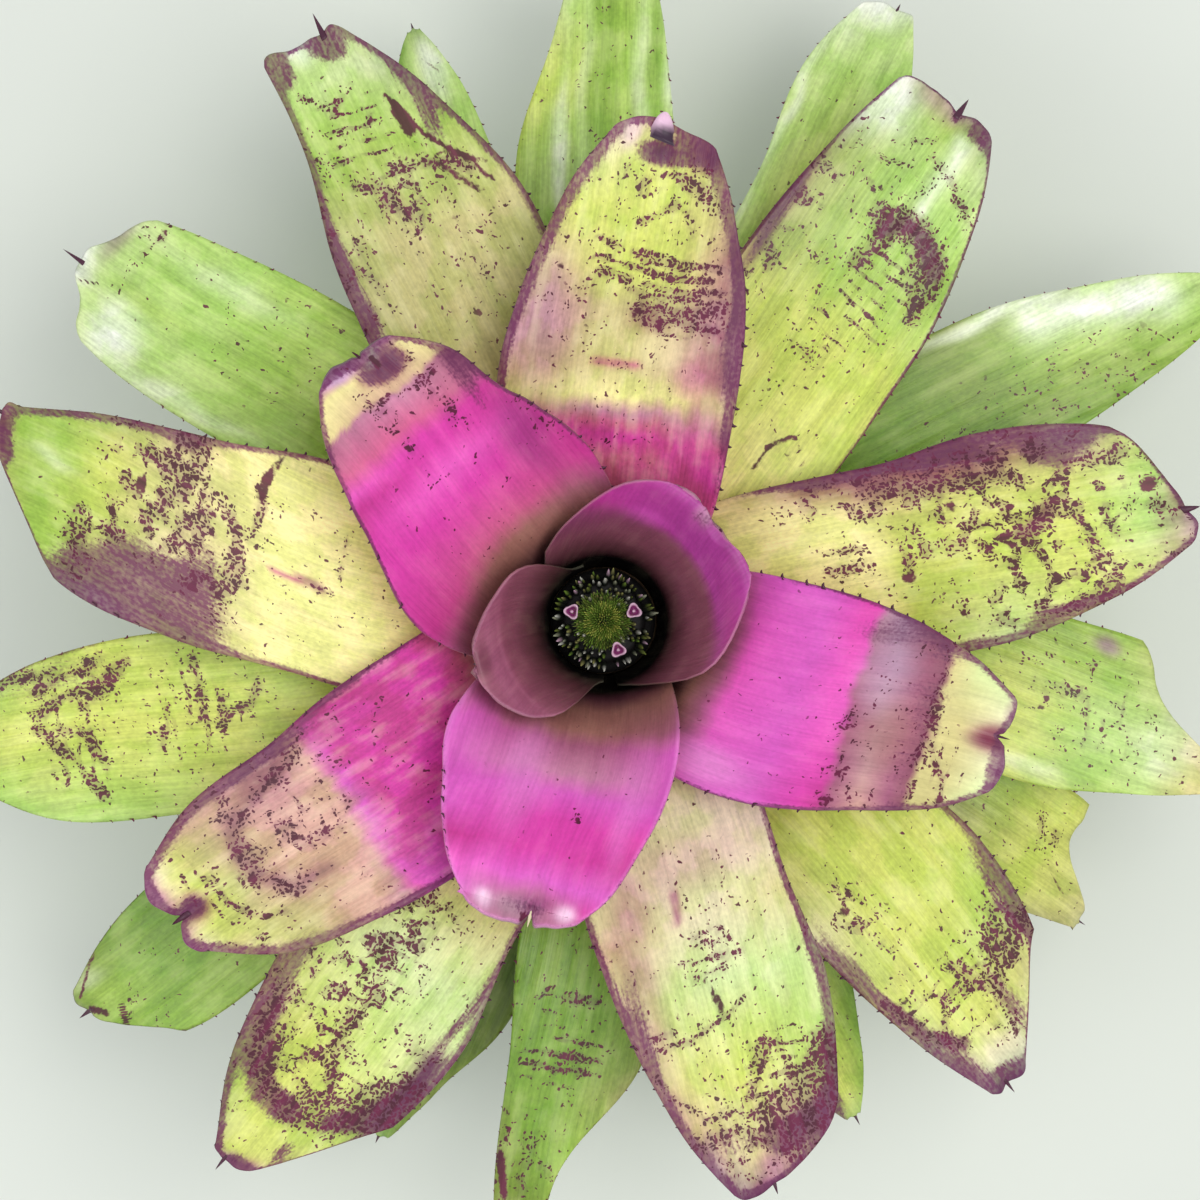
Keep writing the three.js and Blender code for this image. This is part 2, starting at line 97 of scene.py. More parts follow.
for sign, operation in (("add", "ADD"), ("sub", "SUBTRACT"), ("mul", "MULTIPLY"), ("pow", "POWER")):
    def forwards(self, other, operation=operation):
        return self.maths(operation, self, other)

    def backwards(self, other, operation=operation):
        return self.maths(operation, other, self)

    setattr(Wire, f"__{sign}__", forwards)
    setattr(Wire, f"__r{sign}__", backwards)


class Graph:  # the nodes of one material
    def __init__(self, name):
        self.material = bpy.data.materials.new(name)
        self.material.use_nodes = True
        self.tree = self.material.node_tree
        self.tree.nodes.clear()

    def make(self, kind, settings=None, inputs=None, output=0):
        node = self.tree.nodes.new(kind)
        for name, value in (settings or {}).items():
            setattr(node, name, value)
        pairs = enumerate(inputs) if isinstance(inputs, list) else (inputs or {}).items()
        for name, value in pairs:
            if isinstance(value, Wire):
                self.tree.links.new(value.socket, node.inputs[name])
            else:
                node.inputs[name].default_value = value
        return Wire(self, node.outputs[output] if node.outputs else None)

    def maths(self, operation, *values):
        return self.make("ShaderNodeMath", {"operation": operation}, list(values))

    def attribute(self, name, output="Vector"):
        return self.make("ShaderNodeAttribute", {"attribute_name": name}, output=output)

    def parts(self, vector):
        made = self.make("ShaderNodeSeparateXYZ", inputs={"Vector": vector})
        return [Wire(self, socket) for socket in made.socket.node.outputs]

    def stretch(self, vector, scale):
        return self.make("ShaderNodeVectorMath", {"operation": "MULTIPLY"}, [vector, scale])

    def shift(self, vector, other):
        return self.make("ShaderNodeVectorMath", {"operation": "ADD"}, [vector, other])

    def noise(self, vector, scale, detail=2.0, output="Fac", flat=False):
        inputs = {"Vector": self.stretch(vector, scale), "Scale": 1.0, "Detail": detail}
        return self.make("ShaderNodeTexNoise", {"noise_dimensions": "2D" if flat else "3D"}, inputs, output)

    def ease(self, value, low, high, start=0.0, stop=1.0):
        inputs = {"Value": value, "From Min": low, "From Max": high, "To Min": start, "To Max": stop}
        return self.make("ShaderNodeMapRange", {"interpolation_type": "SMOOTHSTEP"}, inputs)

    def blend(self, share, first, second, mode="MIX"):
        settings = {"data_type": "RGBA", "blend_type": mode}
        return self.make("ShaderNodeMix", settings, {0: share, 6: first, 7: second}, output=2)

    def multiply(self, first, second):
        return self.blend(1.0, first, second, "MULTIPLY")

    def shade(self, tint, light):
        return self.multiply(tint, self.make("ShaderNodeCombineColor", {}, [light, light, light]))

    def position(self):
        return self.make("ShaderNodeTexCoord", output="Object")

    def bump(self, strength, distance, height):
        inputs = {"Strength": strength, "Distance": distance, "Height": height}
        return self.make("ShaderNodeBump", {}, inputs)

    def colour(self, name):
        return (*linearPalette[name], 1.0)

    def finish(self, inputs):
        shader = self.make("ShaderNodeBsdfPrincipled", {}, inputs)
        self.make("ShaderNodeOutputMaterial", {}, {"Surface": shader})
        return self.material


# innermost first. azimuth, reach and height place the tip; turn swings the foot; bow bends the blade;
# level is how far out the sheath lies; clasp is the half-angle that it may hold; open flattens the blade;
# arch, nod and cup curve it; left, right are half-widths along it; ends say where it stops, left to right
leafFields = ("azimuth", "reach", "height", "turn", "bow", "level", "clasp", "open",
              "arch", "nod", "cup", "left", "right", "ends")
leafRows = [
    (198, 40, 119, -8, 0, 0, 82, 0.1, 1, 3, 0,
     [43, 43], [43, 43], [1.85, 2.3, 4.75, 6, 3.5, 1.9, 1.6]),
    (38, 45, 121, -6, 0, 2.6, 112, 0.15, 2, 4, 0,
     [60, 60], [60, 60], [2.5, 2.6, 2.75, 3.3, 5.1, 6.15, 5.6, 6, 4.1, 2.65, 2.15, 1.95, 1.8]),
    (256, 85, 138, 8, 0, 5.4, 72, 0.95, 4, 4, 1,
     [28, 27, 25, 22, 15], [46, 39, 34, 28, 21], [5.95, 6.2, 6.5, 5.95, 6.5, 6.3, 5.95]),
    (130, 102, 146, 9, 5, 7.4, 71, 0.95, 5, 5, 1,
     [41, 34, 31, 26, 16], [37, 31, 24, 20, 11], [5.97, 6.1, 6.3, 6.1, 6.15, 6.08, 5.97]),
    (344, 120, 143, -10, 0, 9, 64, 0.95, 6, 5, 1.5,
     [35, 34, 29, 21, 12], [35, 33, 30, 26, 16], [5.95, 6.05, 6.06, 5.98, 6.16, 6.07, 5.95]),
    (215, 148, 138, 4, 0, 10.4, 62, 0.95, 7, 5, 2,
     [34, 34, 32, 27, 12], [32, 32, 28, 26, 18], [5.98, 6.15, 6.25, 6.12, 6.35, 6.18, 6]),
    (83, 144, 134, 4, 0, 11.6, 60, 0.95, 8, 5, 2,
     [37, 37, 33, 26, 14], [34, 34, 31, 23, 14], [5.97, 6.08, 6.22, 6.2, 6, 5.9, 5.82]),
    (287, 176, 126, 4, 0, 12.8, 58, 0.95, 9, 5, 2,
     [27, 27, 31, 26, 14], [34, 34, 30, 22, 10], [5.42, 5.58, 5.73, 5.85, 5.9, 5.9, 5.83]),
    (164, 183, 120, 12, -11, 13.9, 57, 0.95, 9, 5, 2,
     [31, 31, 37, 39, 22], [33, 33, 23, 13, 4], [5.4, 5.61, 6.13, 6.27, 6.25, 6.2, 6.12]),
    (11, 178, 118, 2, 0, 15, 56, 0.95, 9, 5, 2,
     [29, 29, 33, 30, 17], [31, 31, 29, 21, 9], [5.45, 5.6, 5.75, 5.92, 6, 5.95, 5.88]),
    (237, 193, 112, 0, -8, 16.1, 55, 0.95, 10, 5, 2,
     [30, 30, 36, 32, 16], [29, 29, 26, 19, 5], [5.25, 5.42, 6.05, 6.17, 6.12, 6.06, 6]),
    (115.5, 194, 108, -2, 0, 17.2, 54, 0.95, 10, 5, 2,
     [29, 29, 27, 20, 20], [33, 33, 33, 22, 6], [5.95, 6.1, 6, 6.1, 6.15, 6.05, 5.97]),
    (313, 183, 104, 3, -6, 18.3, 53, 0.95, 10, 6, 2,
     [34, 34, 38, 34, 14], [22, 22, 20, 14, 6], [5.3, 5.43, 6.1, 6.12, 6.15, 6.05, 5.98]),
    (191, 198, 97, 8, 0, 19.4, 52, 0.95, 11, 6, 2,
     [27, 27, 29, 28, 12], [25, 25, 26, 21, 11], [5.9, 5.98, 6.05, 6.1, 6.08, 6, 5.92]),
    (55, 191, 94, -1, 0, 20.5, 52, 0.95, 12, 6, 2,
     [31, 31, 30, 26, 20], [31, 31, 30, 23, 11], [5.83, 5.93, 5.95, 5.92, 5.94, 5.9, 5.84]),
    (262.5, 197, 86, 7, 0, 21.6, 51, 0.95, 12, 8, 2,
     [28, 28, 25, 8, 6], [19, 19, 14, 11, 8], [5.9, 5.97, 6.05, 6.1, 6.05, 5.97, 5.9]),
    (145.4, 194, 84, -6, 0, 22.7, 50, 0.95, 12, 6, 2,
     [24, 24, 24, 22, 17], [30, 30, 30, 27, 20], [5.6, 5.7, 5.8, 6.15, 5.86, 5.75, 5.65]),
    (346, 200, 77, 8, 0, 23.8, 50, 0.95, 12, 8, 2,
     [30, 30, 32, 32, 14], [20, 20, 20, 12, 5], [5.15, 5.23, 5.39, 6, 5.97, 5.92, 5.85]),
    (217.2, 201, 72, 0, 0, 24.9, 49, 0.95, 12, 8, 2,
     [23, 23, 24, 24, 14], [22, 22, 21, 18, 8], [5.45, 5.53, 5.8, 6.05, 6.1, 6.03, 5.97]),
    (89, 212, 70, 1, 0, 26, 48, 0.95, 12, 8, 2,
     [27, 27, 28, 18, 11], [22, 22, 20, 16, 10], [5.9, 5.97, 6.03, 6.08, 6.03, 5.97, 5.9]),
    (329, 177, 60, 0, -4, 26.9, 48, 0.95, 12, 8, 2,
     [22, 22, 25, 32, 26], [22, 22, 19, 9, 3], [5.47, 5.49, 5.53, 6.12, 6.1, 6.05, 6]),
    (28, 225, 65, 3, 0, 28.2, 48, 0.95, 13, 8, 2,
     [28, 28, 27, 18, 4], [22, 22, 18, 12, 4], [5.9, 5.95, 6, 6.05, 6, 5.95, 5.9]),
    (297, 178, 50, 0, 0, 29.3, 48, 0.95, 12, 8, 2,
     [23, 23, 20, 12, 2], [23, 23, 18, 12, 3], [5.95, 6, 6.02, 6.1, 6.02, 6, 5.95]),
    (65.5, 215, 53, -2, -5, 30.4, 48, 0.95, 11, 8, 2,
     [18, 18, 16, 18, 10], [20, 20, 18, 17, 6], [5.9, 5.95, 6.05, 6.12, 6.08, 6.03, 5.95]),
    (107.8, 199, 48, 2.5, 0, 31.5, 48, 0.95, 12, 8, 2,
     [20, 20, 19, 14, 2], [18, 18, 14, 10, 2], [5.97, 6, 6.03, 6.08, 6.03, 6, 5.97]),
    (246.5, 181, 42, 0, 0, 32.6, 48, 0.95, 12, 8, 2,
     [24, 24, 22, 11, 3], [22, 22, 18, 12, 3], [5.95, 6, 6.05, 6.15, 6.05, 6, 5.95]),
]
leafTable = [dict(zip(leafFields, row)) for row in leafRows]

leafShape = dict(
    columns=44, rows=140, sheathRows=0.08,  # the share of the rows that the hidden sheath takes
    baseThickness=0.9, midThickness=1.6, marginThickness=0.7,
    ribSpacing=5.2, ribHeight=0.1, ribSwing=40, buckle=0.45, buckleWidth=9, buckleLength=26,
    marginRipple=0.5, rippleLength=6, midChannel=0.5, channelWidth=6, tipPinch=1.8, pinchWidth=2.6,
    toothSpacing=6.3, toothLength=2.3, toothHalfBase=0.95, toothCurl=45,
)
# where along a leaf each of its bends sets in, in key points: 0 is the foot, 3 the rim of the cup, 6 the tip
bendRuns = dict(open=(2.2, 4.1), bow=(3, 6.5), lean=(2.2, 3), cup=(2.6, 4.4), nod=(5, 6.3), turn=(2.5, 5.5))
stemShape = dict(footRadius=20, topRadius=16.5, height=50, seatGap=0.35)
sheathShape = dict(topAttachment=49, lowAttachment=6, bellyHeight=66, bellyRadius=19.2, bellyDrop=0.35,
                   rimHeight=100, rimRadius=29, rimSpread=1.05, flank=(0.66, 0.44))
bladeShape = dict(stations=(0.34, 0.68), widthFrom=3.33, cupWidth=30, leanLimits=(-0.4, 1.4))
toothForm = dict(segments=5, bends=2, flat=0.42, taper=1)
clawForm = dict(segments=10, bends=8, flat=0.6, taper=0.8)


def meshFrom(name, bm):
    mesh = bpy.data.meshes.new(name)
    bm.to_mesh(mesh)
    bm.free()
    return mesh


def smooth(value, low, high):
    share = np.clip((value - low) / (high - low), 0, 1)
    return share * share * (3 - 2 * share)


def mix(first, second, share):
    return first + (second - first) * share


def smoothLine(values, share):  # a smooth line through evenly spaced values or points
    values = np.array(values, float)
    last = len(values) - 1
    place = np.clip(share, 0, 1) * last
    step = np.minimum(np.floor(place).astype(int), last - 1)
    t = place - step
    p0, p1, p2, p3 = (values[np.clip(step + n, 0, last)] for n in (-1, 0, 1, 2))
    if values.ndim > 1:
        t = t[..., None]
    v0, v1 = (p2 - p0) / 2, (p3 - p1) / 2
    return (2 * p1 - 2 * p2 + v0 + v1) * t ** 3 + (-3 * p1 + 3 * p2 - 2 * v0 - v1) * t ** 2 + v0 * t + p1


class LeafForm:  # the middle surface of one leaf: u from -1 to 1 across it, k in key points along it
    def __init__(self, leaf, look):
        self.leaf = leaf
        self.ends = look.get("ends", leaf["ends"])
        self.notch = look.get("notch", (0, 1))
        share = leaf["level"] / leafTable[-1]["level"]
        footHeight = mix(sheathShape["topAttachment"], sheathShape["lowAttachment"], share)
        stemRadius = mix(stemShape["footRadius"], stemShape["topRadius"], footHeight / stemShape["height"])
        foot = np.array([stemRadius + stemShape["seatGap"] + leafShape["baseThickness"] / 2, footHeight])
        belly = np.array([sheathShape["bellyRadius"] + leaf["level"],
                          sheathShape["bellyHeight"] - sheathShape["bellyDrop"] * leaf["level"]])
        flank = mix(foot, belly, np.array(sheathShape["flank"]))
        rim = np.array([sheathShape["rimRadius"] + sheathShape["rimSpread"] * leaf["level"],
                        sheathShape["rimHeight"] - leaf["level"]])
        tip = np.array([leaf["reach"], leaf["height"]])
        blade = [mix(rim, tip, s) + np.array([0, 4 * leaf["arch"] * s * (1 - s)])
                 for s in bladeShape["stations"]]
        self.profile = np.array([foot, flank, belly, rim, *blade, tip])
        stops = np.linspace(0, 1, 201)
        steps = np.linalg.norm(np.diff(smoothLine(self.profile, stops), axis=0), axis=1)
        self.stops = stops * 6
        self.lengths = np.concatenate([[0], np.cumsum(steps)])
        self.unit = self.lengths[-1] / 12  # what one key point past the last one adds

    def arc(self, along):  # millimetres from the foot
        return np.interp(along, self.stops, self.lengths) + np.maximum(along - 6, 0) * self.unit

    def halfWidth(self, u, along, radius):
        ring = math.radians(self.leaf["clasp"]) * radius
        start = bladeShape["widthFrom"]
        share = (along - start) / (6 - start)
        blade = np.where(u < 0, smoothLine(self.leaf["right"], share), smoothLine(self.leaf["left"], share))
        return (ring ** -5 + blade ** -5) ** -0.2

    def reachAt(self, u, k):  # where the row k really lies, as each line across ends in its own place
        depth, width = self.notch
        end = smoothLine(self.ends, 0.5 - np.arcsin(np.clip(u, -1, 1)) / math.pi)
        end = end - depth * np.exp(-(u / width) ** 2)
        return np.where(k > 1, 1 + (k - 1) * (end - 1) / 5, k)

    def point(self, u, k):
        leaf = self.leaf
        along = self.reachAt(u, k)
        run = {name: smooth(along, *ends) for name, ends in bendRuns.items()}
        t = np.minimum(along, 6) / 6
        radius, height = np.moveaxis(smoothLine(self.profile, t), -1, 0)
        ahead, behind = np.clip(t + 1e-4, 0, 1), np.clip(t - 1e-4, 0, 1)
        tangent = smoothLine(self.profile, ahead) - smoothLine(self.profile, behind)
        tangent /= np.linalg.norm(tangent, axis=-1, keepdims=True)
        beyond = np.maximum(along - 6, 0) * self.unit
        bow = radius / (1 - leaf["open"] * run["open"])
        across = u * self.halfWidth(u, along, radius)
        a = radius - bow + bow * np.cos(across / bow) + beyond * tangent[..., 0]
        b = bow * np.sin(across / bow) + leaf["bow"] * run["bow"] ** 2
        slope = np.clip(tangent[..., 1] / np.maximum(tangent[..., 0], 0.3), *bladeShape["leanLimits"])
        z = height + beyond * tangent[..., 1]
        z = z + slope * (np.hypot(a, b) - radius) * run["lean"]
        z = z + run["cup"] * leaf["cup"] * (across / bladeShape["cupWidth"]) ** 2
        z = z - leaf["nod"] * run["nod"] ** 2
        swing = np.radians(leaf["azimuth"] + leaf["turn"] * (1 - run["turn"]))
        x = a * np.cos(swing) - b * np.sin(swing)
        y = a * np.sin(swing) + b * np.cos(swing)
        return np.stack([x, y, z], -1), across, along

    def axes(self, u, k, step=0.01):  # unit vectors along the leaf, towards its left, and out of its face
        ahead, behind = np.minimum(k + step, 6), np.maximum(k - step, 0)
        left, right = np.minimum(u + step, 1), np.maximum(u - step, -1)
        forward = self.point(u, ahead)[0] - self.point(u, behind)[0]
        sideways = self.point(left, k)[0] - self.point(right, k)[0]
        out = np.cross(forward, sideways)
        return [v / np.linalg.norm(v, axis=-1, keepdims=True) for v in (forward, sideways, out)]


def thickness(u, k):
    middle = mix(leafShape["baseThickness"], leafShape["midThickness"], smooth(k, 0.5, 3.5))
    return mix(middle, leafShape["marginThickness"], 1 - (1 - np.abs(u)) ** 2)


def waver(x, y, seed):  # a smooth irregular surface between about -1 and 1
    draw = random.Random(seed)
    total = 0 * x
    for n in range(5):
        turn, phase, pace = draw.uniform(0, 6.28), draw.uniform(0, 6.28), 0.7 + 0.45 * n
        total = total + np.sin(pace * (x * math.cos(turn) + y * math.sin(turn)) + phase)
    return total / 3.2


def relief(u, k, across, arc, order):  # ribs, buckles, a channel down the middle and the pinch at the tip
    shape = leafShape
    swing = shape["ribSwing"]
    blade = smooth(k, 3.1, 4.2) if order > 1 else 0.25 * smooth(k, 2.2, 4)  # the two innermost are smoother
    phase = 2 * math.pi * across / shape["ribSpacing"] + waver(arc / swing, across / swing, order)
    buckles = waver(across / shape["buckleWidth"], arc / shape["buckleLength"], 100 + order)
    ripples = waver(across / swing, arc / shape["rippleLength"], 200 + order)
    height = shape["ribHeight"] * np.cos(phase)
    height = height + shape["buckle"] * buckles
    height = height + shape["marginRipple"] * np.abs(u) ** 5 * ripples
    height = height - shape["midChannel"] * np.exp(-(across / shape["channelWidth"]) ** 2) * smooth(k, 3.4, 5)
    height = height * blade
    pinch = np.exp(-(across / shape["pinchWidth"]) ** 2) * smooth(k, 5.5, 5.95)
    return height - shape["tipPinch"] * pinch


# bands: (key point, colour) or (key point, left, middle, right)
# each mark is a blob (across in mm, key point, half-width and half-length in mm, strength)
# or a stroke ([(across, key point), ...], width in mm, strength); a tint has its colour first
# tint lays a colour over the bands (white tints, and some pale and grey ones at the tips, are painted
# highlights and shade), stain is the purple film, dark is solid ink, and at a few tips painted shade in a
# crease;
# spots, lines and row say where the dots crowd: in patches, in bands across the leaf or along a stroke
# margin: strength of the purple rim, and its width in mm at the waist and at the tip
# claw: length and half-width in mm, and curl in degrees; a look may also have
# notch: depth in key points and half-width as a share of the leaf; ends in place of the leaf's own;
# rim: colour of a thin lighter edge, a painted highlight along the margin; clawRoot: key point where the claw
# starts;
# clawTint, clawEnd: its colours
# the six innermost looks run from brown to near black towards the foot: partly the sheaths' own dark colour,
# partly painted shade deep in the cup
leafLooks = [
    dict(bands=[(1.8, "cupShadeBlack"), (2.1, "umber"), (2.4, "cocoa"), (2.8, "mauveBrown"),
                (3.4, "dustyRose", "mauveBrown", "mauveBrown"),
                (4.6, "dustyRose", "dustyRose", "mauveBrown"), (6, "mauveBrown")],
         tint=[("cocoa", 0, 5.5, 5, 5, 0.5), ("dustyRose", 8, 4.4, 8, 5, 0.5)],
         margin=(0.35, 0.6, 0.8), claw=(1.6, 0.8, 60), rim="mauvePink"),
    # low down the middle and right side are mauve-brown: painted shade near the cup
    dict(bands=[(1.5, "cupShadeBlack"), (1.85, "umber"), (2.15, "cocoa"), (2.55, "mauveBrown"),
                (3, "plum", "mauveBrown", "mauveBrown"), (3.5, "magenta", "violet", "dustyRose"),
                (4.2, "fuchsia", "violet", "rose"), (5.2, "magenta", "violet", "fuchsia"),
                (6.2, "magenta", "violet", "violet")],
         tint=[("greyMauve", 6, 5.85, 3, 5, 0.8), ("orchid", 20, 3.4, 6, 6, 0.5),
               ("plum", -8, 5.6, 10, 3, 0.4)],
         stain=[(6, 5.5, 5, 4, 0.5)],
         margin=(0.25, 0.6, 0.8), claw=(1.8, 0.9, 60), rim="mauvePink", notch=(0.2, 0.06),
         ends=[2.2, 2.5, 2.72, 3.3, 5.1, 6.15, 5.6, 6, 4.1, 2.65, 2.1, 1.75, 1.5]),
    dict(bands=[(1.2, "cupShadeBlack"), (1.7, "umber"), (2.1, "cocoa"), (2.5, "clay"),
                (3, "dustyRose", "clay", "dustyRose"), (3.3, "orchid", "dustyRose", "orchid"),
                (3.7, "orchid", "mauvePink", "orchid"), (4, "orchid"),
                (4.5, "fuchsia", "fuchsia", "orchid"), (5, "magenta", "fuchsia", "magenta"),
                (5.45, "orchid", "orchid", "hotPink"), (5.8, "fuchsia", "dustyRose", "orchid"),
                (6.5, "mauvePink")],
         # at the tip the two pale pink blobs are painted highlights on the curled lobes, the grey-mauve blob
         # is painted shade in the fold, and the dark stroke is painted shade in the crease of the notch
         tint=[("palePink", 9, 6, 3.5, 3.5, 0.95), ("palePink", -14, 6.12, 3.5, 3.5, 0.95),
               ("greyMauve", -5, 6.15, 6, 3.5, 0.85), ("plum", 0, 5.86, 5, 2.4, 0.6),
               ("lightPink", -16, 3.9, 6, 22, 0.5), ("lightPink", 18, 4.2, 4, 22, 0.4)],
         stain=[(-2, 6.05, 7, 3, 0.6)],
         spots=[(3, 4.35, 3, 4, 0.7), (0, 4, 30, 60, 0.12)],
         dark=[([(-1, 6.25), (-1, 6.5)], 2, 0.9)],
         margin=(0.35, 0.6, 0.8), claw=(5.5, 0.8, 20), rim="lightPink", clawTint="cream",
         notch=(0.35, 0.08), ends=[5.95, 6.2, 6.4, 6.42, 6.5, 6.3, 5.95]),
    dict(bands=[(1.2, "cupShadeBlack"), (1.8, "umber"), (2.2, "cocoa"), (2.7, "clay"),
                (3, "dustyRose", "clay", "dustyRose"), (3.3, "magenta", "rose", "magenta"),
                (3.9, "fuchsia", "fuchsia", "magenta"), (4.25, "fuchsia", "hotPink", "magenta"),
                (4.55, "magenta", "fuchsia", "magenta"), (4.72, "hotPink", "fuchsia", "magenta"),
                (4.95, "rose", "rose", "dustyRose"), (5.34, "dustyRose", "mauvePink", "mauveBrown"),
                (5.4, "butter", "fawn", "straw"), (5.8, "butter"), (6, "mauvePink"), (6.3, "dusk")],
         # at the tip the silver stroke is a painted highlight in the shallow hollow; the dark stroke above the
         # claw is partly the leaf's own dark line, partly painted shade of the claw's foot ridge
         tint=[("blood", -2, 5.72, 6, 4.5, 1), ("silver", [(0, 5.88), (-3, 6.12)], 3, 0.95),
               ("lavender", 8, 6.05, 5, 2.5, 0.8), ("plum", -24, 3.9, 7, 20, 0.5)],
         stain=[(-2, 5.74, 7, 6, 1), (0, 6.25, 26, 3, 0.8), (-18, 5.05, 4, 16, 0.7)],
         spots=[(7, 5, 3, 22, 0.9), (-8, 5.05, 3, 24, 0.9), (0, 4.3, 26, 60, 0.22)],
         row=[([(10, 5.38), (-2, 5.34), (-12, 5.3)], 2.4, 0.8), ([(-32, 3.6), (-27, 4.3)], 3, 0.5)],
         dark=[([(-1, 5.78), (-1, 6.02)], 1.5, 0.9)],
         margin=(0.95, 0.7, 1.8), claw=(7, 0.6, 70), notch=(0.08, 0.07)),
    dict(bands=[(1.2, "cupShadeBlack"), (1.8, "umber"), (2.2, "cocoa"), (2.7, "clay"), (3, "dustyRose"),
                (3.25, "orchid", "hotPink", "orchid"), (3.8, "orchid"),
                (4.2, "fuchsia", "hotPink", "fuchsia"), (4.36, "fuchsia", "hotPink", "magenta"),
                (4.46, "greyMauve", "dustyRose", "dustyRose"), (4.7, "dusk", "greyMauve", "shell"),
                (5, "mauveBrown", "dustyRose", "dustyRose"), (5.17, "mauveBrown"),
                (5.24, "straw", "straw", "oliveGold"), (5.45, "paleGreen", "straw", "oliveGold"),
                (5.8, "paleGreen", "cream", "paleGreen"), (6.1, "greyMauve")],
         tint=[("clay", -6, 4.8, 10, 9, 0.5), ("lavender", 12, 4.6, 9, 8, 0.35),
               ("blood", -1, 5.75, 4.5, 6, 1), ("silver", 3, 6, 2.5, 2.5, 0.7),
               ("lightPink", -27, 3.35, 6, 16, 0.8)],
         stain=[(0, 5.08, 30, 8, 0.35), (-6, 5.98, 14, 4, 1), (24, 4.9, 5, 26, 0.6)],
         spots=[(-10, 4.42, 20, 4, 1), (-27, 4.5, 5, 14, 0.7), (0, 4.95, 28, 12, 0.45),
                (0, 3.9, 30, 40, 0.2)],
         lines=[(-14, 5.45, 12, 8, 0.7)],
         row=[([(26, 5.15), (14, 5.18), (4, 5.15), (-12, 5.17), (-24, 5.2)], 2.4, 0.6),
              ([(4, 5.2), (-8, 5.28), (-16, 5.4), (-23, 5.5)], 2.6, 0.9)],
         margin=(0.85, 0.7, 1.8), claw=(5, 0.6, 60), notch=(0.12, 0.07)),
    dict(bands=[(1.3, "umber"), (2, "cocoa"), (2.7, "clay"), (3.1, "rose"),
                (3.4, "orchid", "fuchsia", "fuchsia"), (4.2, "orchid", "fuchsia", "magenta"),
                (4.34, "hotPink", "orchid", "fuchsia"), (4.46, "mauvePink", "shell", "shell"),
                (4.65, "shell", "shell", "dustyRose"), (4.9, "fawn", "shell", "dustyRose"),
                (5.15, "oliveGold", "fawn", "shell"), (5.4, "straw", "oliveGold", "fawn"),
                (5.7, "straw", "lime", "straw"), (5.9, "cream", "butter", "cream"), (6.2, "mauvePink")],
         tint=[
               ("mauveBrown", [(12, 4.8), (11, 5.05), (4, 5.24), (-5, 5.28), (-13, 5.2), (-18, 5), (-20, 4.7)],
                5, 0.5),
               ("blood", 0, 5.85, 3.6, 5, 0.95), ("dusk", [(0, 5.95), (-1, 6.2)], 3, 0.8),
               ("mauveBrown", -24, 4.9, 5, 30, 0.4)],
         stain=[(0, 5.86, 4, 5, 0.8), (-14, 6.3, 7, 3, 0.9), (12, 6.15, 4, 2, 0.9), (-26, 5.2, 3, 40, 0.8)],
         spots=[(-3, 4.75, 7, 18, 0.7), (-22, 4.7, 7, 34, 0.7), (0, 3.9, 30, 50, 0.3),
                (0, 5.3, 26, 30, 0.35)],
         lines=[(-3, 4.75, 9, 18, 0.5), (-4, 5.7, 14, 7, 0.7)],
         row=[([(9, 5.15), (2, 5.26), (-6, 5.28), (-14, 5.18)], 5, 0.85),
              ([(12, 4.85), (12, 5.1)], 2.4, 0.5), ([(-14, 5.1), (-18, 4.85), (-20, 4.6)], 3, 0.6),
              ([(15, 5.25), (12, 5.45), (3, 5.57), (-6, 5.58)], 2, 0.8),
              ([(18, 5.45), (16, 5.65), (12, 5.8)], 1.8, 0.6)],
         margin=(1.15, 1.9, 3.2), claw=(6, 1.2, 90), notch=(0.12, 0.08)),
    dict(bands=[(2, "clay"), (2.8, "rose"), (3.3, "lightPink", "rose", "fuchsia"),
                (3.5, "rose", "fuchsia", "rose"), (3.6, "mauvePink", "rose", "mauvePink"),
                (3.68, "butter", "mauvePink", "fawn"), (3.78, "straw", "lemon", "straw"),
                (3.95, "fawn", "straw", "mauvePink"), (4.2, "mauvePink", "straw", "mauvePink"),
                (4.5, "fawn", "oliveGold", "mauvePink"), (4.75, "straw", "lime", "fawn"),
                (5.3, "lime", "lime", "oliveGold"), (5.65, "cream", "lime", "oliveGold"),
                (5.95, "cream", "straw", "dustyRose")],
         tint=[("mauvePink", 25, 4.3, 9, 20, 0.6), ("greyMauve", 27, 4.4, 5, 16, 0.4),
               ("dustyRose", -26, 4.6, 8, 34, 0.4), ("magenta", -22, 3.95, 7, 9, 0.3),
               ("blood", -4, 4.43, 7, 5, 0.35), ("rose", [(8, 4.02), (-2, 4.0)], 2.4, 0.7),
               ("blood", -28, 5.1, 3.4, 44, 0.75), ("blood", -14, 5.8, 6, 6, 0.9),
               ("ink", -1, 5.72, 4, 3.4, 0.9), ("palePink", 9, 5.95, 3, 6, 0.6)],
         stain=[(-31, 5, 3.5, 50, 0.8), (-12, 5.84, 7, 5, 0.8), (-3, 5.74, 9, 5, 1.2)],
         spots=[(0, 4.8, 30, 50, 0.4), (20, 4.6, 9, 34, 0.35), (5, 3.5, 20, 10, 0.4)],
         lines=[(-14, 4.5, 13, 12, 0.7)],
         row=[([(16, 4.99), (8, 4.93)], 2, 1), ([(4, 4.91), (-6, 4.88), (-14, 4.86)], 3, 1.4),
              ([(-16, 4.87), (-25, 4.87)], 1.8, 1.1),
              ([(14, 4.83), (4, 4.79), (-10, 4.75), (-22, 4.76)], 1.6, 1.3),
              ([(12, 4.72), (5, 4.7)], 2.4, 1.2), ([(0, 4.68), (-16, 4.66), (-25, 4.68)], 1.8, 1.1),
              ([(4, 4.62), (-8, 4.6), (-25, 4.61)], 1.6, 0.9),
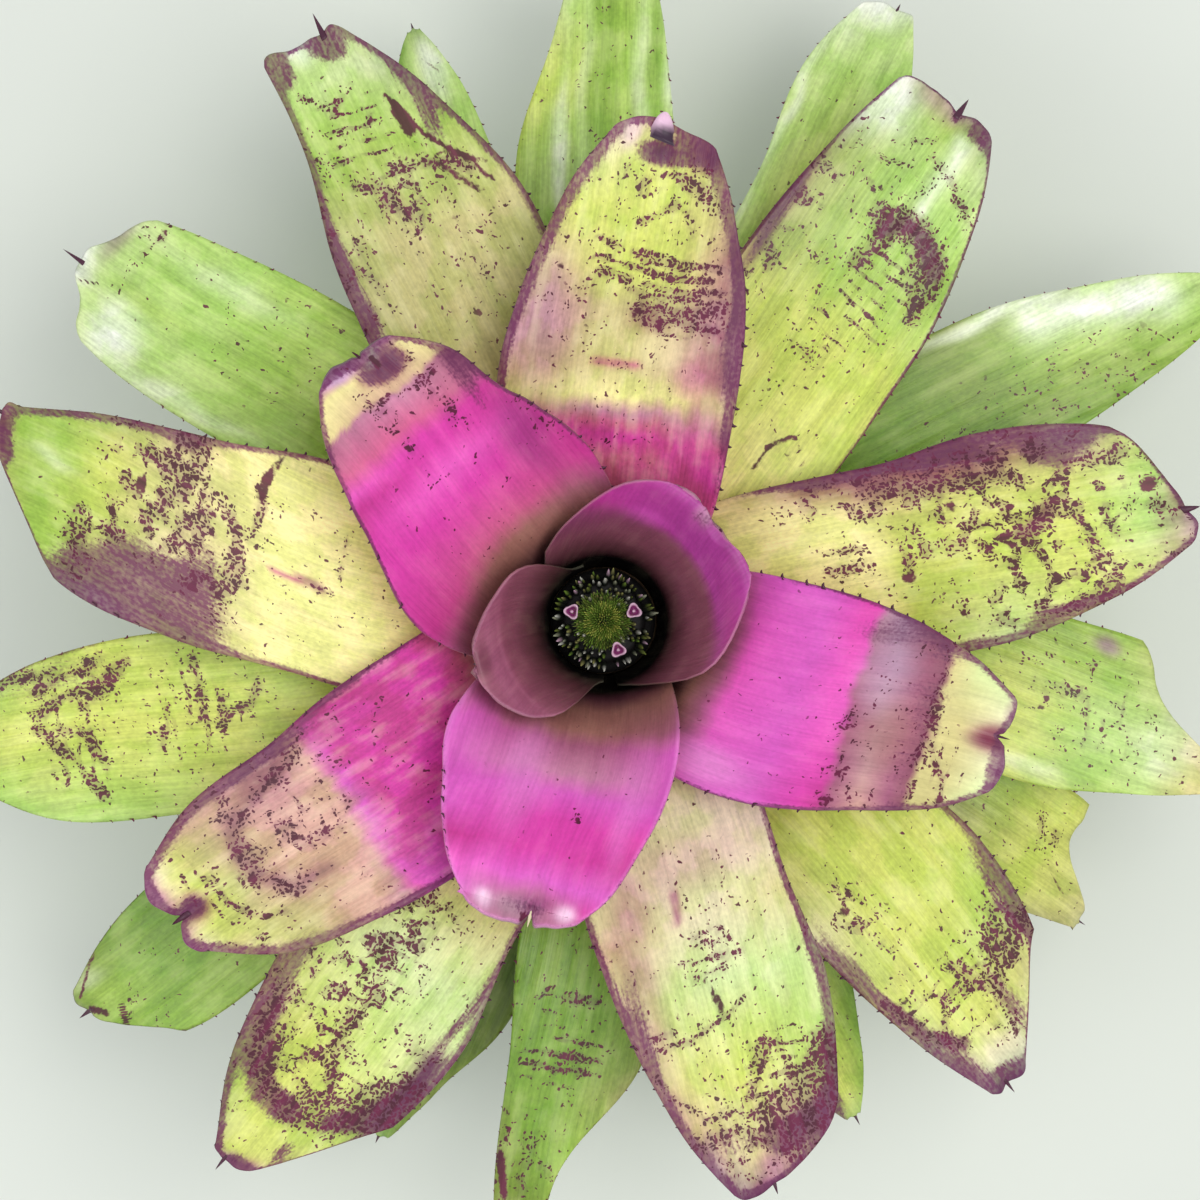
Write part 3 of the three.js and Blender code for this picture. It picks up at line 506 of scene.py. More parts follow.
              ([(-8, 4.53), (-14, 4.52), (-25, 4.55)], 2.6, 1.1),
              ([(-1, 4.49), (-5, 4.43), (-7, 4.38)], 5, 1.1), ([(-15, 4.43), (-24, 4.4)], 5, 1),
              ([(8, 4.02), (0, 4.0)], 2.2, 0.6), ([(5, 5.42), (1, 5.5), (-6, 5.53), (-10, 5.45)], 2.2, 0.9),
              ([(5, 5.35), (-3, 5.42)], 2, 0.8), ([(-10, 5.5), (-14, 5.38), (-17, 5.3)], 5, 0.9),
              ([(3, 5.16), (-3, 5.24), (-7, 5.3)], 2.4, 0.8), ([(-11, 5.25), (-13, 5.1)], 2.6, 0.7),
              ([(9, 5.5), (8, 5.6)], 2, 0.7), ([(-10, 5.62), (-15, 5.6)], 2.4, 0.8)],
         # the claw runs from dark grey at its foot to pale pink at its end, the pale end a painted highlight
         # on its curled top
         margin=(1.15, 2.5, 4.2), claw=(9, 5.4, 95), clawRoot=5.76, clawTint="clawGrey",
         clawEnd="palePink"),
    dict(bands=[(2.5, "cream"), (3.3, "palePink", "cream", "palePink"), (3.8, "cream"),
                (4.1, "straw", "cream", "fawn"), (4.5, "paleGreen", "paleGreen", "straw"),
                (5.1, "freshGreen", "lime", "straw"), (5.35, "olive", "straw", "fawn"),
                (5.6, "greyMauve", "straw", "greyMauve"), (5.9, "dusk")],
         tint=[("dustyRose", [(-8, 3.9), (-9, 4.07)], 2.4, 0.9), ("mauvePink", 0, 3.75, 26, 8, 0.35),
               ("purple", [(29, 5.12), (27, 5.34), (20, 5.45), (12, 5.48)], 5, 0.75),
               ("dustyRose", -24, 4.6, 6, 40, 0.4), ("plum", -1, 5.83, 6, 3, 0.7),
               ("mauvePink", 3, 5.66, 6, 5, 0.8), ("dustyRose", -20, 3.9, 6, 8, 0.4)],
         stain=[([(29, 5.15), (27, 5.35), (18, 5.47), (6, 5.5)], 8, 1.2), (-8, 5.5, 16, 4, 0.45),
                (-26, 5.2, 4, 44, 0.8), (-2, 5.86, 9, 2, 0.8), (29, 4.4, 2, 40, 0.5)],
         spots=[(-4, 5.55, 22, 9, 0.8), (0, 4.6, 30, 60, 0.45)],
         lines=[(12, 5.28, 17, 14, 1)],
         row=[([(9, 4.37), (-10, 4.35)], 2, 0.9), ([(3, 4.44), (-6, 4.45)], 1.8, 0.7),
              ([(6, 4.28), (-4, 4.27)], 2, 0.9), ([(4, 4.2), (-4, 4.2)], 1.8, 0.8),
              ([(7, 4.68), (0, 4.76), (-12, 4.82), (-26, 4.78)], 2, 0.9),
              ([(-16, 4.72), (-26, 4.7)], 2, 0.7),
              ([(8, 5), (4, 5.16), (-4, 5.3), (-14, 5.3), (-20, 5.2), (-24, 4.98)], 2, 0.9),
              ([(6, 4.98), (2, 5.12)], 2.4, 0.9),
              ([(29, 5.12), (27, 5.34), (20, 5.45), (10, 5.48)], 9, 1.5),
              ([(25, 5.05), (14, 5.3), (2, 5.36)], 6, 1.2), ([(14, 5.2), (11, 5.02)], 3, 0.7),
              ([(-4, 5.42), (-20, 5.45)], 4, 0.8), ([(30, 4.35), (24, 4.48)], 2, 0.7)],
         dark=[([(-1, 4.71), (-2, 4.62)], 3, 0.8), ([(-3, 4.58), (-4, 4.48)], 1.6, 0.7)],
         margin=(1.15, 1.7, 2.8), claw=(4, 0.9, 60)),
    # the lemon low on the blade is lighter than the leaf's own yellow: painted light that lifts the shade in
    # the valley there
    dict(bands=[(3.4, "lemon"), (4.2, "lemon"), (4.45, "straw", "butter", "lemon"),
                (4.9, "oliveGold", "straw", "straw"), (5.3, "leafGreen", "lime", "olive"),
                (5.6, "leafGreen"), (5.9, "oliveGold", "leafGreen", "leafGreen"), (6.3, "butter")],
         # the white streak near the tip and the lavender strip at the left margin are painted highlights
         tint=[("blood", -22, 5.2, 5, 26, 0.4), ("lavender", 38, 5.2, 4, 14, 0.6),
               ("greyMauve", 30, 5.05, 10, 14, 0.35), ("blood", [(4, 3.87), (4, 4.02)], 2.2, 0.8),
               ("rose", [(4, 4.0), (4, 4.2)], 1.4, 0.8), ("blood", [(8, 6.05), (2, 6.2)], 3, 0.7),
               ("white", 6, 5.6, 2, 8, 0.4)],
         stain=[(30, 4.86, 13, 22, 1.2), (34, 5.15, 7, 14, 1), (14, 4.62, 11, 7, 0.55),
                (-19, 4.9, 6, 8, 0.6), (-22, 5.3, 7, 24, 1.1), (5, 6.18, 7, 5, 1.2), (10, 6.0, 3, 4, 0.9)],
         spots=[([(14, 4.5), (14, 5), (20, 5.3)], 12, 1.1), (8, 4.65, 14, 14, 1), (-6, 5.05, 15, 16, 0.9),
                (4, 4.4, 30, 60, 0.42)],
         row=[([(33, 5.3), (26, 5.35), (18, 5.33)], 5, 1), ([(28, 4.49), (16, 4.45), (6, 4.46)], 3, 1),
              ([(10, 4.4), (-5, 4.5)], 3, 0.8), ([(4, 4.75), (-2, 4.62)], 3, 0.9),
              ([(10, 4.98), (2, 4.9)], 3, 0.8), ([(-8, 4.94), (-20, 4.84)], 4, 1.1),
              ([(-4, 4.8), (-14, 4.74), (-24, 4.74)], 5, 1.1), ([(16, 4.82), (4, 4.74)], 3, 0.9),
              ([(-3, 4.37), (-12, 4.33), (-16, 4.36)], 2.4, 1), ([(-3, 3.78), (-14, 3.76)], 1.8, 0.8),
              ([(5, 3.98), (3, 3.8)], 1.8, 0.6)],
         dark=[(0, 5.06, 3.4, 1.8, 1), ([(-14, 4.35), (-19, 4.33)], 3, 0.85),
               ([(-19, 4.32), (-27, 4.24)], 1.6, 0.75)],
         margin=(1.15, 1.4, 2.2), claw=(4.5, 0.9, 60)),
    # the lemon low on the blade is lighter than the leaf's own yellow: painted light that lifts the shade in
    # the valley there
    dict(bands=[(3.4, "lemon"), (3.8, "butter", "lemon", "lemon"), (4.05, "fawn", "lime", "lime"),
                (4.6, "oliveGold", "lime", "paleGreen"), (5.2, "oliveGold", "lime", "lime"),
                (5.6, "leafGreen", "freshGreen", "straw"), (5.95, "greyMauve")],
         tint=[("blood", 28, 4.15, 8, 46, 0.85), ("dusk", 29, 5.2, 6, 9, 0.6),
               ("blood", [(8, 5.0), (3, 4.8)], 3, 0.7), ("blood", 6, 5.82, 4, 3, 0.7)],
         stain=[(29, 4.2, 5, 40, 0.9), (27, 5.12, 9, 11, 1.1), (-24, 5.2, 4, 22, 1.1),
                (-28, 4.6, 2, 30, 0.6), (6, 5.84, 5, 2.4, 1.1), (-8, 6, 9, 1.6, 0.7)],
         spots=[(22, 4.3, 8, 50, 1.3), (16, 5, 12, 24, 1.1), (5, 4.75, 9, 22, 0.9), (8, 5.25, 20, 9, 0.9),
                (0, 4.7, 30, 60, 0.6), (-20, 5, 8, 30, 1), (0, 5.85, 18, 7, 0.8)],
         row=[([(22, 3.9), (20, 4.3), (21, 4.7)], 8, 0.6), ([(9, 5.05), (5, 4.85), (0, 4.62)], 3.4, 0.75),
              ([(2, 4.72), (-4, 4.75), (-9, 4.7), (-15, 4.72)], 2.4, 0.95),
              ([(-1, 4.9), (-6, 4.92), (-12, 4.98), (-16, 4.9)], 2.2, 0.9),
              ([(10, 5.08), (2, 5.2), (-6, 5.26), (-12, 5.33), (-16, 5.22)], 2.6, 0.9),
              ([(6, 3.6), (5, 3.78)], 3, 0.8), ([(0, 3.6), (-1, 3.82)], 3.4, 0.9),
              ([(4, 4.06), (-4, 4.1)], 3, 0.7), ([(0, 4.2), (6, 4.16)], 2.4, 0.6),
              ([(3, 5.6), (1, 5.66)], 3.2, 1), ([(-17, 5.32), (-20, 5.15), (-23, 4.95)], 3.4, 1)],
         dark=[(-5, 4.07, 2.6, 2.6, 0.9), (12, 4.38, 2.4, 2, 0.9), (10, 5.6, 2.8, 3, 0.85)],
         margin=(1.15, 1.5, 1.9), claw=(4.5, 1.6, 50)),
    dict(bands=[(2.5, "lime"), (3.8, "straw", "lemon", "lemon"), (4.4, "paleGreen", "paleGreen", "lime"),
                (5.1, "paleGreen", "lime", "oliveGold"), (5.5, "leafGreen", "lime", "leafGreen"),
                (5.9, "straw", "lime", "olive"), (6.15, "greyMauve")],
         tint=[("purple", [(31, 4.8), (31, 5.1), (28, 5.3)], 6, 0.8),
               ("plum", [(8, 5.97), (3, 6.1)], 4, 0.7)],
         stain=[([(4, 5.48), (-4, 5.46), (-12, 5.36), (-18, 5.15), (-22, 4.85), (-24, 4.65)], 8, 1.2),
                ([(31, 5.1), (27, 5.3), (18, 5.42)], 6, 1.2), (-24, 5.3, 3, 30, 0.9), (31, 5, 2.4, 36, 0.8),
                (5, 6.06, 4, 4, 1.1), (12, 5.75, 2, 5, 0.8)],
         spots=[(2, 4.55, 9, 34, 1.1), (-15, 4.6, 6, 22, 0.6), (28, 5.1, 8, 20, 1), (-4, 5.2, 14, 12, 0.4),
                (0, 4.6, 32, 60, 0.55)],
         lines=[(2, 4.6, 9, 28, 0.8), (16, 5.3, 18, 13, 0.9)],
         row=[([(5, 4.85), (2, 4.6), (0, 4.35)], 3.4, 0.6),
              ([(31, 5.14), (26, 5.32), (18, 5.42), (9, 5.48)], 7, 1.4),
              ([(30, 5.04), (20, 5.25), (10, 5.34)], 5, 1.1),
              ([(6, 5.47), (-4, 5.44), (-12, 5.34)], 4.4, 1.1),
              ([(-10, 5.4), (-15, 5.22), (-18, 5.0)], 4.4, 1.1),
              ([(-6, 5.36), (-10, 5.2), (-12, 5.05)], 2.4, 0.7),
              ([(12, 5.22), (7, 5.08), (4, 4.92)], 3, 0.8), ([(10, 4.06), (-2, 4.04)], 2, 0.8),
              ([(-6, 4.05), (-12, 4.12)], 2.4, 0.8)],
         margin=(1.15, 1.5, 2.4), claw=(4.5, 0.8, 60)),
    dict(bands=[(2.5, "lime"), (3.6, "olive", "oliveGold", "olive"),
                (4.6, "olive", "oliveGold", "oliveGold"), (5.2, "leafGreen"),
                (5.6, "freshGreen", "paleGreen", "silver"), (5.9, "paleGreen")],
         # the white patch at the tip is a painted highlight
         tint=[("blood", 27, 4.5, 3, 30, 0.6), ("white", 7, 5.97, 4, 6, 0.9)],
         stain=[(27, 4.7, 5, 36, 1), (-19, 5.5, 5, 24, 0.9), (16, 5.95, 5, 9, 1.3), (-1, 6, 5, 9, 1.4)],
         spots=[(0, 4.8, 7, 9, 0.9), (22, 4.6, 8, 40, 0.85), (-8, 4.5, 18, 36, 0.65)],
         lines=[(4, 5.3, 15, 16, 0.9)],
         row=[([(10, 5), (2, 4.9), (-2, 4.72)], 4, 0.9), ([(-2, 5.02), (-13, 4.98), (-22, 4.84)], 3, 1),
              ([(15, 5.6), (8, 5.42), (-1, 5.52)], 2.4, 0.8),
              ([(14, 5.35), (4, 5.24), (-2, 5.36)], 2.2, 0.65), ([(18, 5.22), (6, 5.12)], 2.2, 0.6)],
         dark=[([(-9, 5.33), (-11, 5.2)], 3.2, 1.1), ([(-2, 5.12), (-14, 4.95), (-22, 4.7)], 1.6, 0.75),
               ([(-8, 5.42), (-18, 5.02), (-26, 4.72)], 1.6, 0.75), ([(-14, 5.02), (-27, 4.82)], 1.4, 0.6)],
         margin=(1, 1.6, 2), claw=(7, 1.2, 30)),
    dict(bands=[(2.5, "lime"), (3.8, "lime", "lime", "oliveGold"), (4.5, "lime", "lime", "cream"),
                (5.1, "leafGreen", "lime", "lime"), (5.45, "oliveGold", "lime", "silver"),
                (5.7, "cream", "cream", "greyMauve"), (6, "silver"), (6.15, "dusk")],
         stain=[([(-4, 5.52), (-10, 5.35), (-14, 5.02)], 4, 1), (-17, 5.2, 4, 40, 1),
                (34, 5.05, 4, 20, 0.7), (0, 6.08, 14, 6, 1), (-8, 5.78, 4, 14, 0.7), (16, 5.5, 4, 16, 0.6)],
         spots=[(27, 5.25, 14, 12, 1.15), (-6, 4.5, 7, 24, 0.85), (10, 4.8, 26, 40, 0.32),
                (10, 5.75, 9, 10, 0.45)],
         lines=[(4, 5.32, 16, 14, 0.95)],
         row=[([(38, 5.22), (30, 5.14), (22, 5.22)], 4.4, 1.15),
              ([(35, 5.32), (27, 5.27), (19, 5.35)], 3.4, 0.95), ([(14, 5.64), (13, 5.36), (8, 5.1)], 3, 1),
              ([(12, 5.3), (2, 5.24), (-6, 5.42)], 2.6, 0.8),
              ([(-4, 5.52), (-10, 5.35), (-14, 5.02)], 3.4, 0.9), ([(0, 5.2), (-12, 5.1)], 2.4, 0.65)],
         dark=[(-7, 4.4, 2.4, 2.2, 0.8)],
         margin=(1.1, 1.5, 2.3), claw=(4, 0.8, 50)),
    dict(bands=[(3, "leafGreen"), (4.2, "lime", "lime", "leafGreen"), (5, "freshGreen", "lime", "lime"),
                (5.6, "freshGreen", "lime", "leafGreen"), (6.1, "leafGreen")],
         stain=[(-16, 5.3, 8, 26, 0.4)],
         spots=[(0, 4.8, 28, 60, 0.45)],
         lines=[(0, 4.5, 18, 12, 0.7), (4, 5.2, 24, 16, 0.5)],
         row=[([(21, 5.1), (11, 5.2), (4, 5.35), (-2, 5.43)], 3, 1),
              ([(13, 5.04), (4, 5.15), (0, 5.32)], 2.8, 0.9), ([(17, 5.3), (6, 5.32)], 2.2, 0.6),
              ([(-6, 5.42), (-10, 5.1), (-18, 4.82)], 3.2, 1.05),
              ([(-12, 5.4), (-16, 5.12), (-20, 5)], 3, 0.95), ([(-16, 5.66), (-18, 5.3)], 4, 1),
              ([(-4, 5.16), (-14, 4.9)], 2.4, 0.75), ([(7, 4.74), (-4, 4.66)], 2.4, 0.8),
              ([(0, 4.46), (-16, 4.44)], 3, 1), ([(4, 4.36), (-6, 4.3)], 2.6, 0.8),
              ([(-1, 4.3), (-3, 4.15), (-8, 4.08)], 3, 0.95)],
         margin=(0.35, 0.6, 0.7), claw=(3, 0.7, 50)),
    # the lemon low on the blade is lighter than the leaf's own yellow: painted light that lifts the shade in
    # the valley there
    dict(bands=[(3.2, "lemon"), (3.8, "lemon", "lime", "lime"), (4.2, "lime"),
                (4.7, "olive", "leafGreen", "leafGreen"), (5.2, "olive", "freshGreen", "freshGreen"),
                (5.5, "silver", "freshGreen", "paleGreen"), (5.75, "silver", "leafGreen", "silver"),
                (6, "greyMauve")],
         # the white tints are painted highlights
         tint=[("white", [(-7, 5.68), (-8, 5.2)], 5, 0.75), ("white", 20, 5.7, 9, 12, 0.95),
               ("blood", 29, 4.8, 3, 36, 0.5), ("greyMauve", 4, 5.85, 9, 5, 0.6)],
         stain=[([(0, 4.98), (-6, 5.08), (-13, 5.07), (-22, 4.9)], 5, 1), (28, 4.8, 2.5, 45, 0.7),
                (-13, 5.84, 8, 5, 0.9), ([(-1, 5.96), (-1, 5.84)], 4, 0.9)],
         spots=[(24, 4.6, 6, 50, 0.9), (0, 4.6, 30, 60, 0.45)],
         lines=[(-10, 4.74, 13, 9, 0.9), (-8, 4.38, 13, 11, 0.9)],
         row=[([(1, 4.7), (-1, 4.9), (-4, 5.06)], 5, 1.1),
              ([(1, 5.0), (-6, 5.1), (-14, 5.07), (-20, 4.94), (-24, 4.8)], 6, 1.6),
              ([(-18, 4.95), (-24, 4.65)], 5, 1.1),
              ([(-4, 4.94), (-8, 4.98), (-14, 4.9), (-17, 4.74)], 2.4, 0.7),
              ([(1, 4.07), (-8, 4.05)], 3, 0.7), ([(17, 5.18), (8, 5.12)], 2.4, 0.6),
              ([(12, 5.3), (2, 5.36)], 2.4, 0.65), ([(-2, 5.5), (-12, 5.42), (-22, 5.3)], 2.8, 0.8),
              ([(7, 5.5), (0, 5.6)], 2.4, 0.6)],
         dark=[([(-9, 3.35), (-10, 3.52)], 1.1, 0.75),
               ([(-10, 3.52), (-14, 3.66), (-20, 3.6), (-22, 3.5)], 1.1, 0.75)],
         margin=(0.9, 0.8, 1), claw=(6, 1.5, 30)),
    dict(bands=[(3, "grass"), (4.3, "grass"), (4.8, "olive", "grass", "grass"),
                (5.2, "leafGreen", "grass", "moss"), (5.6, "moss")],
         spots=[(-8, 4.3, 4, 4, 0.7), (0, 4.6, 20, 50, 0.4), (-9, 5.3, 4, 22, 1.1), (2, 5.4, 9, 14, 0.6)],
         lines=[(2, 4.62, 13, 11, 1)],
         row=[([(9, 4.73), (-6, 4.68)], 2.4, 0.8), ([(11, 4.63), (-4, 4.58)], 2.4, 0.8),
              ([(7, 4.52), (1, 4.5)], 2.4, 0.7), ([(8, 4.28), (-2, 4.27)], 2.8, 0.85)],
         dark=[([(-6, 5.5), (-10, 5.25)], 3, 0.8)],
         margin=(0.3, 0.6, 0.6), claw=(4, 0.8, 45)),
    # the white at the tip and the white tints are painted highlights
    dict(bands=[(3, "leafGreen"), (4.4, "freshGreen", "leafGreen", "leafGreen"),
                (5, "paleGreen", "freshGreen", "freshGreen"),
                (5.4, "paleGreen", "freshGreen", "freshGreen"), (5.75, "paleGreen"), (6.1, "white")],
         tint=[("white", 12, 5.45, 8, 9, 0.95), ("white", 20, 4.9, 3, 30, 0.5),
               ("white", -18, 5, 4, 24, 0.35), ("dusk", -12, 5.82, 8, 4, 0.5),
               ("leafGreen", 0, 5.35, 3, 16, 0.4)],
         spots=[(-20, 5.6, 9, 6, 0.6), (-8, 4.7, 20, 40, 0.35)],
         row=[([(4, 5.6), (-10, 5.58), (-22, 5.55)], 2.2, 0.5)],
         dark=[(-28, 5.48, 1.8, 1.6, 0.9), (-22, 5.56, 1.6, 1.6, 0.8), ([(3, 5.75), (4, 5.95)], 1.6, 0.7)],
         margin=(0.25, 0.6, 0.5), claw=(7, 0.9, 40)),
    dict(bands=[(3, "leafGreen"), (4.4, "leafGreen", "lime", "lime"),
                (5, "leafGreen", "freshGreen", "leafGreen"), (5.4, "olive", "paleGreen", "freshGreen"),
                (5.7, "straw")],
         # the white tints are painted highlights
         tint=[("dusk", 28, 4.93, 3, 4, 0.95), ("white", -15, 4.6, 3, 14, 0.5),
               ("white", 4, 5.5, 9, 12, 0.4)],
         spots=[(12, 4.85, 14, 16, 0.6), (0, 4.8, 30, 60, 0.35)],
         lines=[(4, 5.1, 16, 16, 0.45)],
         margin=(0.3, 0.6, 0.6), claw=(4, 0.8, 45)),
    dict(bands=[(3, "grass"), (4.6, "leafGreen", "grass", "grass"), (5.3, "leafGreen", "grass", "grass"),
                (5.8, "grass", "leafGreen", "moss"), (6.1, "moss")],
         # the white tint is a painted highlight
         tint=[("white", -8, 5.8, 3, 8, 0.4)],
         spots=[(0, 5.1, 22, 40, 0.25), (12, 5.6, 8, 8, 0.5)],
         dark=[([(11, 5.78), (5, 5.7)], 2.4, 0.9), ([(4, 5.85), (1, 5.98)], 3, 0.8),
               ([(-5, 5.95), (-13, 5.6)], 1.5, 0.65)],
         margin=(0.4, 0.6, 0.6), claw=(6, 1.4, 30)),
    dict(bands=[(3, "leafGreen"), (4.5, "leafGreen", "freshGreen", "leafGreen"),
                (5, "lime", "leafGreen", "freshGreen"), (5.5, "paleGreen", "leafGreen", "freshGreen"),
                (6.1, "paleGreen")],
         # the white tints are painted highlights
         tint=[("white", 15, 4.6, 2.5, 24, 0.75), ("white", -9, 4.9, 3, 40, 0.45),
               ("white", -19, 5.3, 3, 22, 0.8), ("grass", -14, 5.2, 3, 30, 0.6),
               ("white", 8, 5, 2.5, 34, 0.3), ("grass", 2, 5.1, 4, 40, 0.6)],
         spots=[(0, 5, 24, 40, 0.3)],
         margin=(0.1, 0.5, 0.5), claw=(4, 0.8, 45)),
    dict(bands=[(3, "olive"), (4.7, "leafGreen", "olive", "olive"), (5.3, "lime", "lime", "olive"),
                (6.1, "oliveGold")],
         spots=[(4, 5.2, 24, 40, 0.35)],
         row=[([(18, 5.34), (10, 5.45)], 2.2, 0.6), ([(21, 5.2), (12, 5.3)], 2.2, 0.6)],
         dark=[([(8, 5.5), (4, 5.7)], 1.5, 0.5)],
         margin=(0.3, 0.6, 0.6), claw=(4, 0.8, 45)),
    dict(bands=[(3, "grass"), (4.3, "moss", "grass", "grass"), (4.9, "freshGreen", "leafGreen", "grass"),
                (5.5, "paleGreen", "freshGreen", "leafGreen"), (6, "freshGreen")],
         # the white tints are painted highlights
         tint=[("white", [(19, 4.8), (14, 5.1), (8, 5.5)], 12, 1), ("white", 25, 4.6, 2.5, 28, 0.8),
               ("moss", 8, 4.3, 9, 18, 0.4), ("moss", -6, 4.9, 8, 40, 0.35)],
         spots=[(-6, 4.7, 16, 50, 0.6), (-14, 5.5, 4, 6, 0.7)],
         margin=(0.1, 0.5, 0.5), claw=(4, 0.7, 45)),
    dict(bands=[(3, "moss"), (5, "grass", "lime", "olive"), (5.6, "leafGreen", "lime", "olive"),
                (6.1, "leafGreen")],
         stain=[(-5, 5.6, 3, 24, 0.8)],
         spots=[(0, 5, 16, 40, 0.4)],
         margin=(0.2, 0.5, 0.5), claw=(4, 0.6, 45)),
    # the white towards the tip and the white tints are painted highlights
    dict(bands=[(3, "leafGreen"), (4.6, "freshGreen", "lime", "lime"),
                (5.4, "paleGreen", "freshGreen", "freshGreen"), (5.85, "white", "paleGreen", "paleGreen"),
                (6.1, "white")],
         tint=[("white", 2, 5.98, 7, 9, 0.8), ("white", 16, 4.9, 2, 60, 0.5)],
         spots=[(0, 4.9, 18, 40, 0.18)],
         margin=(0.1, 0.5, 0.5), claw=(3, 0.7, 45)),
    dict(bands=[(3, "leafGreen"), (5, "leafGreen", "freshGreen", "freshGreen"),
                (5.6, "grass", "paleGreen", "freshGreen"), (6.1, "grass")],
         # the white tint is a painted highlight
         tint=[("white", -3, 5.55, 4, 12, 0.75)],
         spots=[(0, 5.2, 14, 30, 0.15)],
         dark=[([(-4, 5.5), (0, 5.6)], 1.5, 0.5)],
         margin=(0.1, 0.5, 0.5), claw=(3, 0.6, 45)),
    dict(bands=[(3, "forest"), (5, "moss", "forest", "moss"), (5.6, "moss", "grass", "moss"),
                (6.1, "grass")],
         spots=[(0, 5.2, 14, 30, 0.35)],
         margin=(0.2, 0.5, 0.5), claw=(3, 0.6, 45)),
]


def bandColours(look, along, side):  # side runs from 1 at the left margin to -1 at the right one
    stops = [(stop[0], *(stop[1:] * 3 if len(stop) == 2 else stop[1:])) for stop in look["bands"]]
    keys = [stop[0] for stop in stops]
    left, middle, right = (
        np.stack([np.interp(along, keys, [linearPalette[stop[n]][channel] ** 0.5 for stop in stops])
                  for channel in range(3)], -1)
        for n in (1, 2, 3))
    edge = (np.abs(side) ** 1.5)[..., None]
    return mix(middle, np.where(side[..., None] > 0, left, right), edge)


def blobShare(shape, across, arc, form):  # 1 in the middle of a blob or on a stroke, and 0 away from it
    if isinstance(shape[0], list):
        line, width = shape[0], shape[1]
        places = [Vector((x, float(form.arc(k)))) for x, k in line]
        nearest = np.full(across.shape, 1e9)
        for start, stop in zip(places, places[1:]):
            run = stop - start
            t = np.clip(((across - start.x) * run.x + (arc - start.y) * run.y) / run.length_squared, 0, 1)
            nearest = np.minimum(nearest, np.hypot(across - start.x - t * run.x, arc - start.y - t * run.y))
        return np.exp(-(nearest / (0.6 * width)) ** 2)
    x, k, wide, long = shape[:4]
    distance = ((across - x) / wide) ** 2 + ((arc - form.arc(k)) / long) ** 2
    return np.exp(-distance ** 1.5)


# how far the drawn shapes stray: drift and streaks move the bands in key points, wander moves marks in mm
paint = dict(drift=0.05, streaks=0.04, wander=1.5, marginGain=1.2, rimStrength=0.5, rimWidth=0.9)


def paintLeaf(form, look, u, along, across, half, order):
    arc = form.arc(along)
    drift = waver(across / 12, arc / 12, 300 + order)
    streaks = waver(across / 1.7, arc / 30, 500 + order)
    place = along + paint["drift"] * drift + paint["streaks"] * streaks
    tint = bandColours(look, place, np.clip(across / half, -1, 1))
    wander = paint["wander"]
    wanderX = across + wander * waver(across / 7, arc / 7, 400 + order)
    wanderY = arc + wander * drift
    for name, *shape in look.get("tint", []):
        share = np.clip(shape[-1] * blobShare(shape, wanderX, wanderY, form), 0, 1)[..., None]
        tint = mix(tint, linearPalette[name] ** 0.5, share)
    marks = {kind: np.zeros(len(u)) for kind in ("spots", "lines", "row", "stain", "dark")}
    for kind in marks:
        for shape in look.get(kind, []):
            marks[kind] += shape[-1] * blobShare(shape, wanderX, wanderY, form)
    strength, low, high = look["margin"]
    width = mix(low, high, smooth(along, 4, 5.8))
    ahead = form.arc(form.reachAt(u, 6)) - arc
    inside = np.minimum(half * (1 - np.abs(u)), 1.6 * ahead)
    edging = np.exp(-(inside / width) ** 1.5) * smooth(along, 2.6, 4.2)
    marks["stain"] += paint["marginGain"] * strength * edging
    # a thin lighter line along the edge: a painted highlight on the margin
    if "rim" in look:
        edge = paint["rimStrength"] * np.exp(-(inside / paint["rimWidth"]) ** 2) * smooth(along, 2.4, 3.2)
        tint = mix(tint, linearPalette[look["rim"]] ** 0.5, edge[..., None])
    return tint ** 2, {kind: np.clip(value, 0, 1.3) for kind, value in marks.items()}


# a tapered spine that starts along out and curls towards bend
def spine(bm, base, axes, length, halfBase, curl, segments, bends, flat, taper):
    wide, thin, out, bend = axes
    ring = bmesh.ops.create_circle(bm, cap_ends=True, segments=segments, radius=1)["verts"]
    square = Matrix((wide * halfBase, thin * flat * halfBase, out)).transposed()
    for vert in ring:
        vert.co = base + square @ vert.co
    edges = list(ring[0].link_faces[0].edges)
    made, centre, before = list(ring), base.copy(), 1
    turn = math.radians(curl)
    step = Matrix.Rotation(turn / bends, 3, out.cross(bend))
    for n in range(bends):
        grown = bmesh.ops.extrude_edge_only(bm, edges=edges)["geom"]
        ring = [item for item in grown if isinstance(item, bmesh.types.BMVert)]
        edges = [item for item in grown if isinstance(item, bmesh.types.BMEdge)
                 and all(vert in ring for vert in item.verts)]
        share = (n + 1) / bends
        target = base + (out * math.sin(turn * share) + bend * (1 - math.cos(turn * share))) * length / turn
        width = (1 - share) ** taper
        for vert in ring:
            vert.co = target + step @ (vert.co - centre) * (width / before)
        centre, before = target, width
        made += ring
    bmesh.ops.remove_doubles(bm, verts=ring, dist=1e-6)
    made = [vert for vert in made if vert.is_valid]
    bmesh.ops.recalc_face_normals(bm, faces=list({face for vert in made for face in vert.link_faces}))
    return made


# the bake map in shares of its side: two strips for the faces of a leaf, a slim rim, and squares for spines
bakeMap = dict(gap=0.01, stripHalf=0.23, stripStep=0.48, heightHalf=0.49, rim=0.004,
               squaresFrom=0.967, square=0.0075, squareColumns=4)


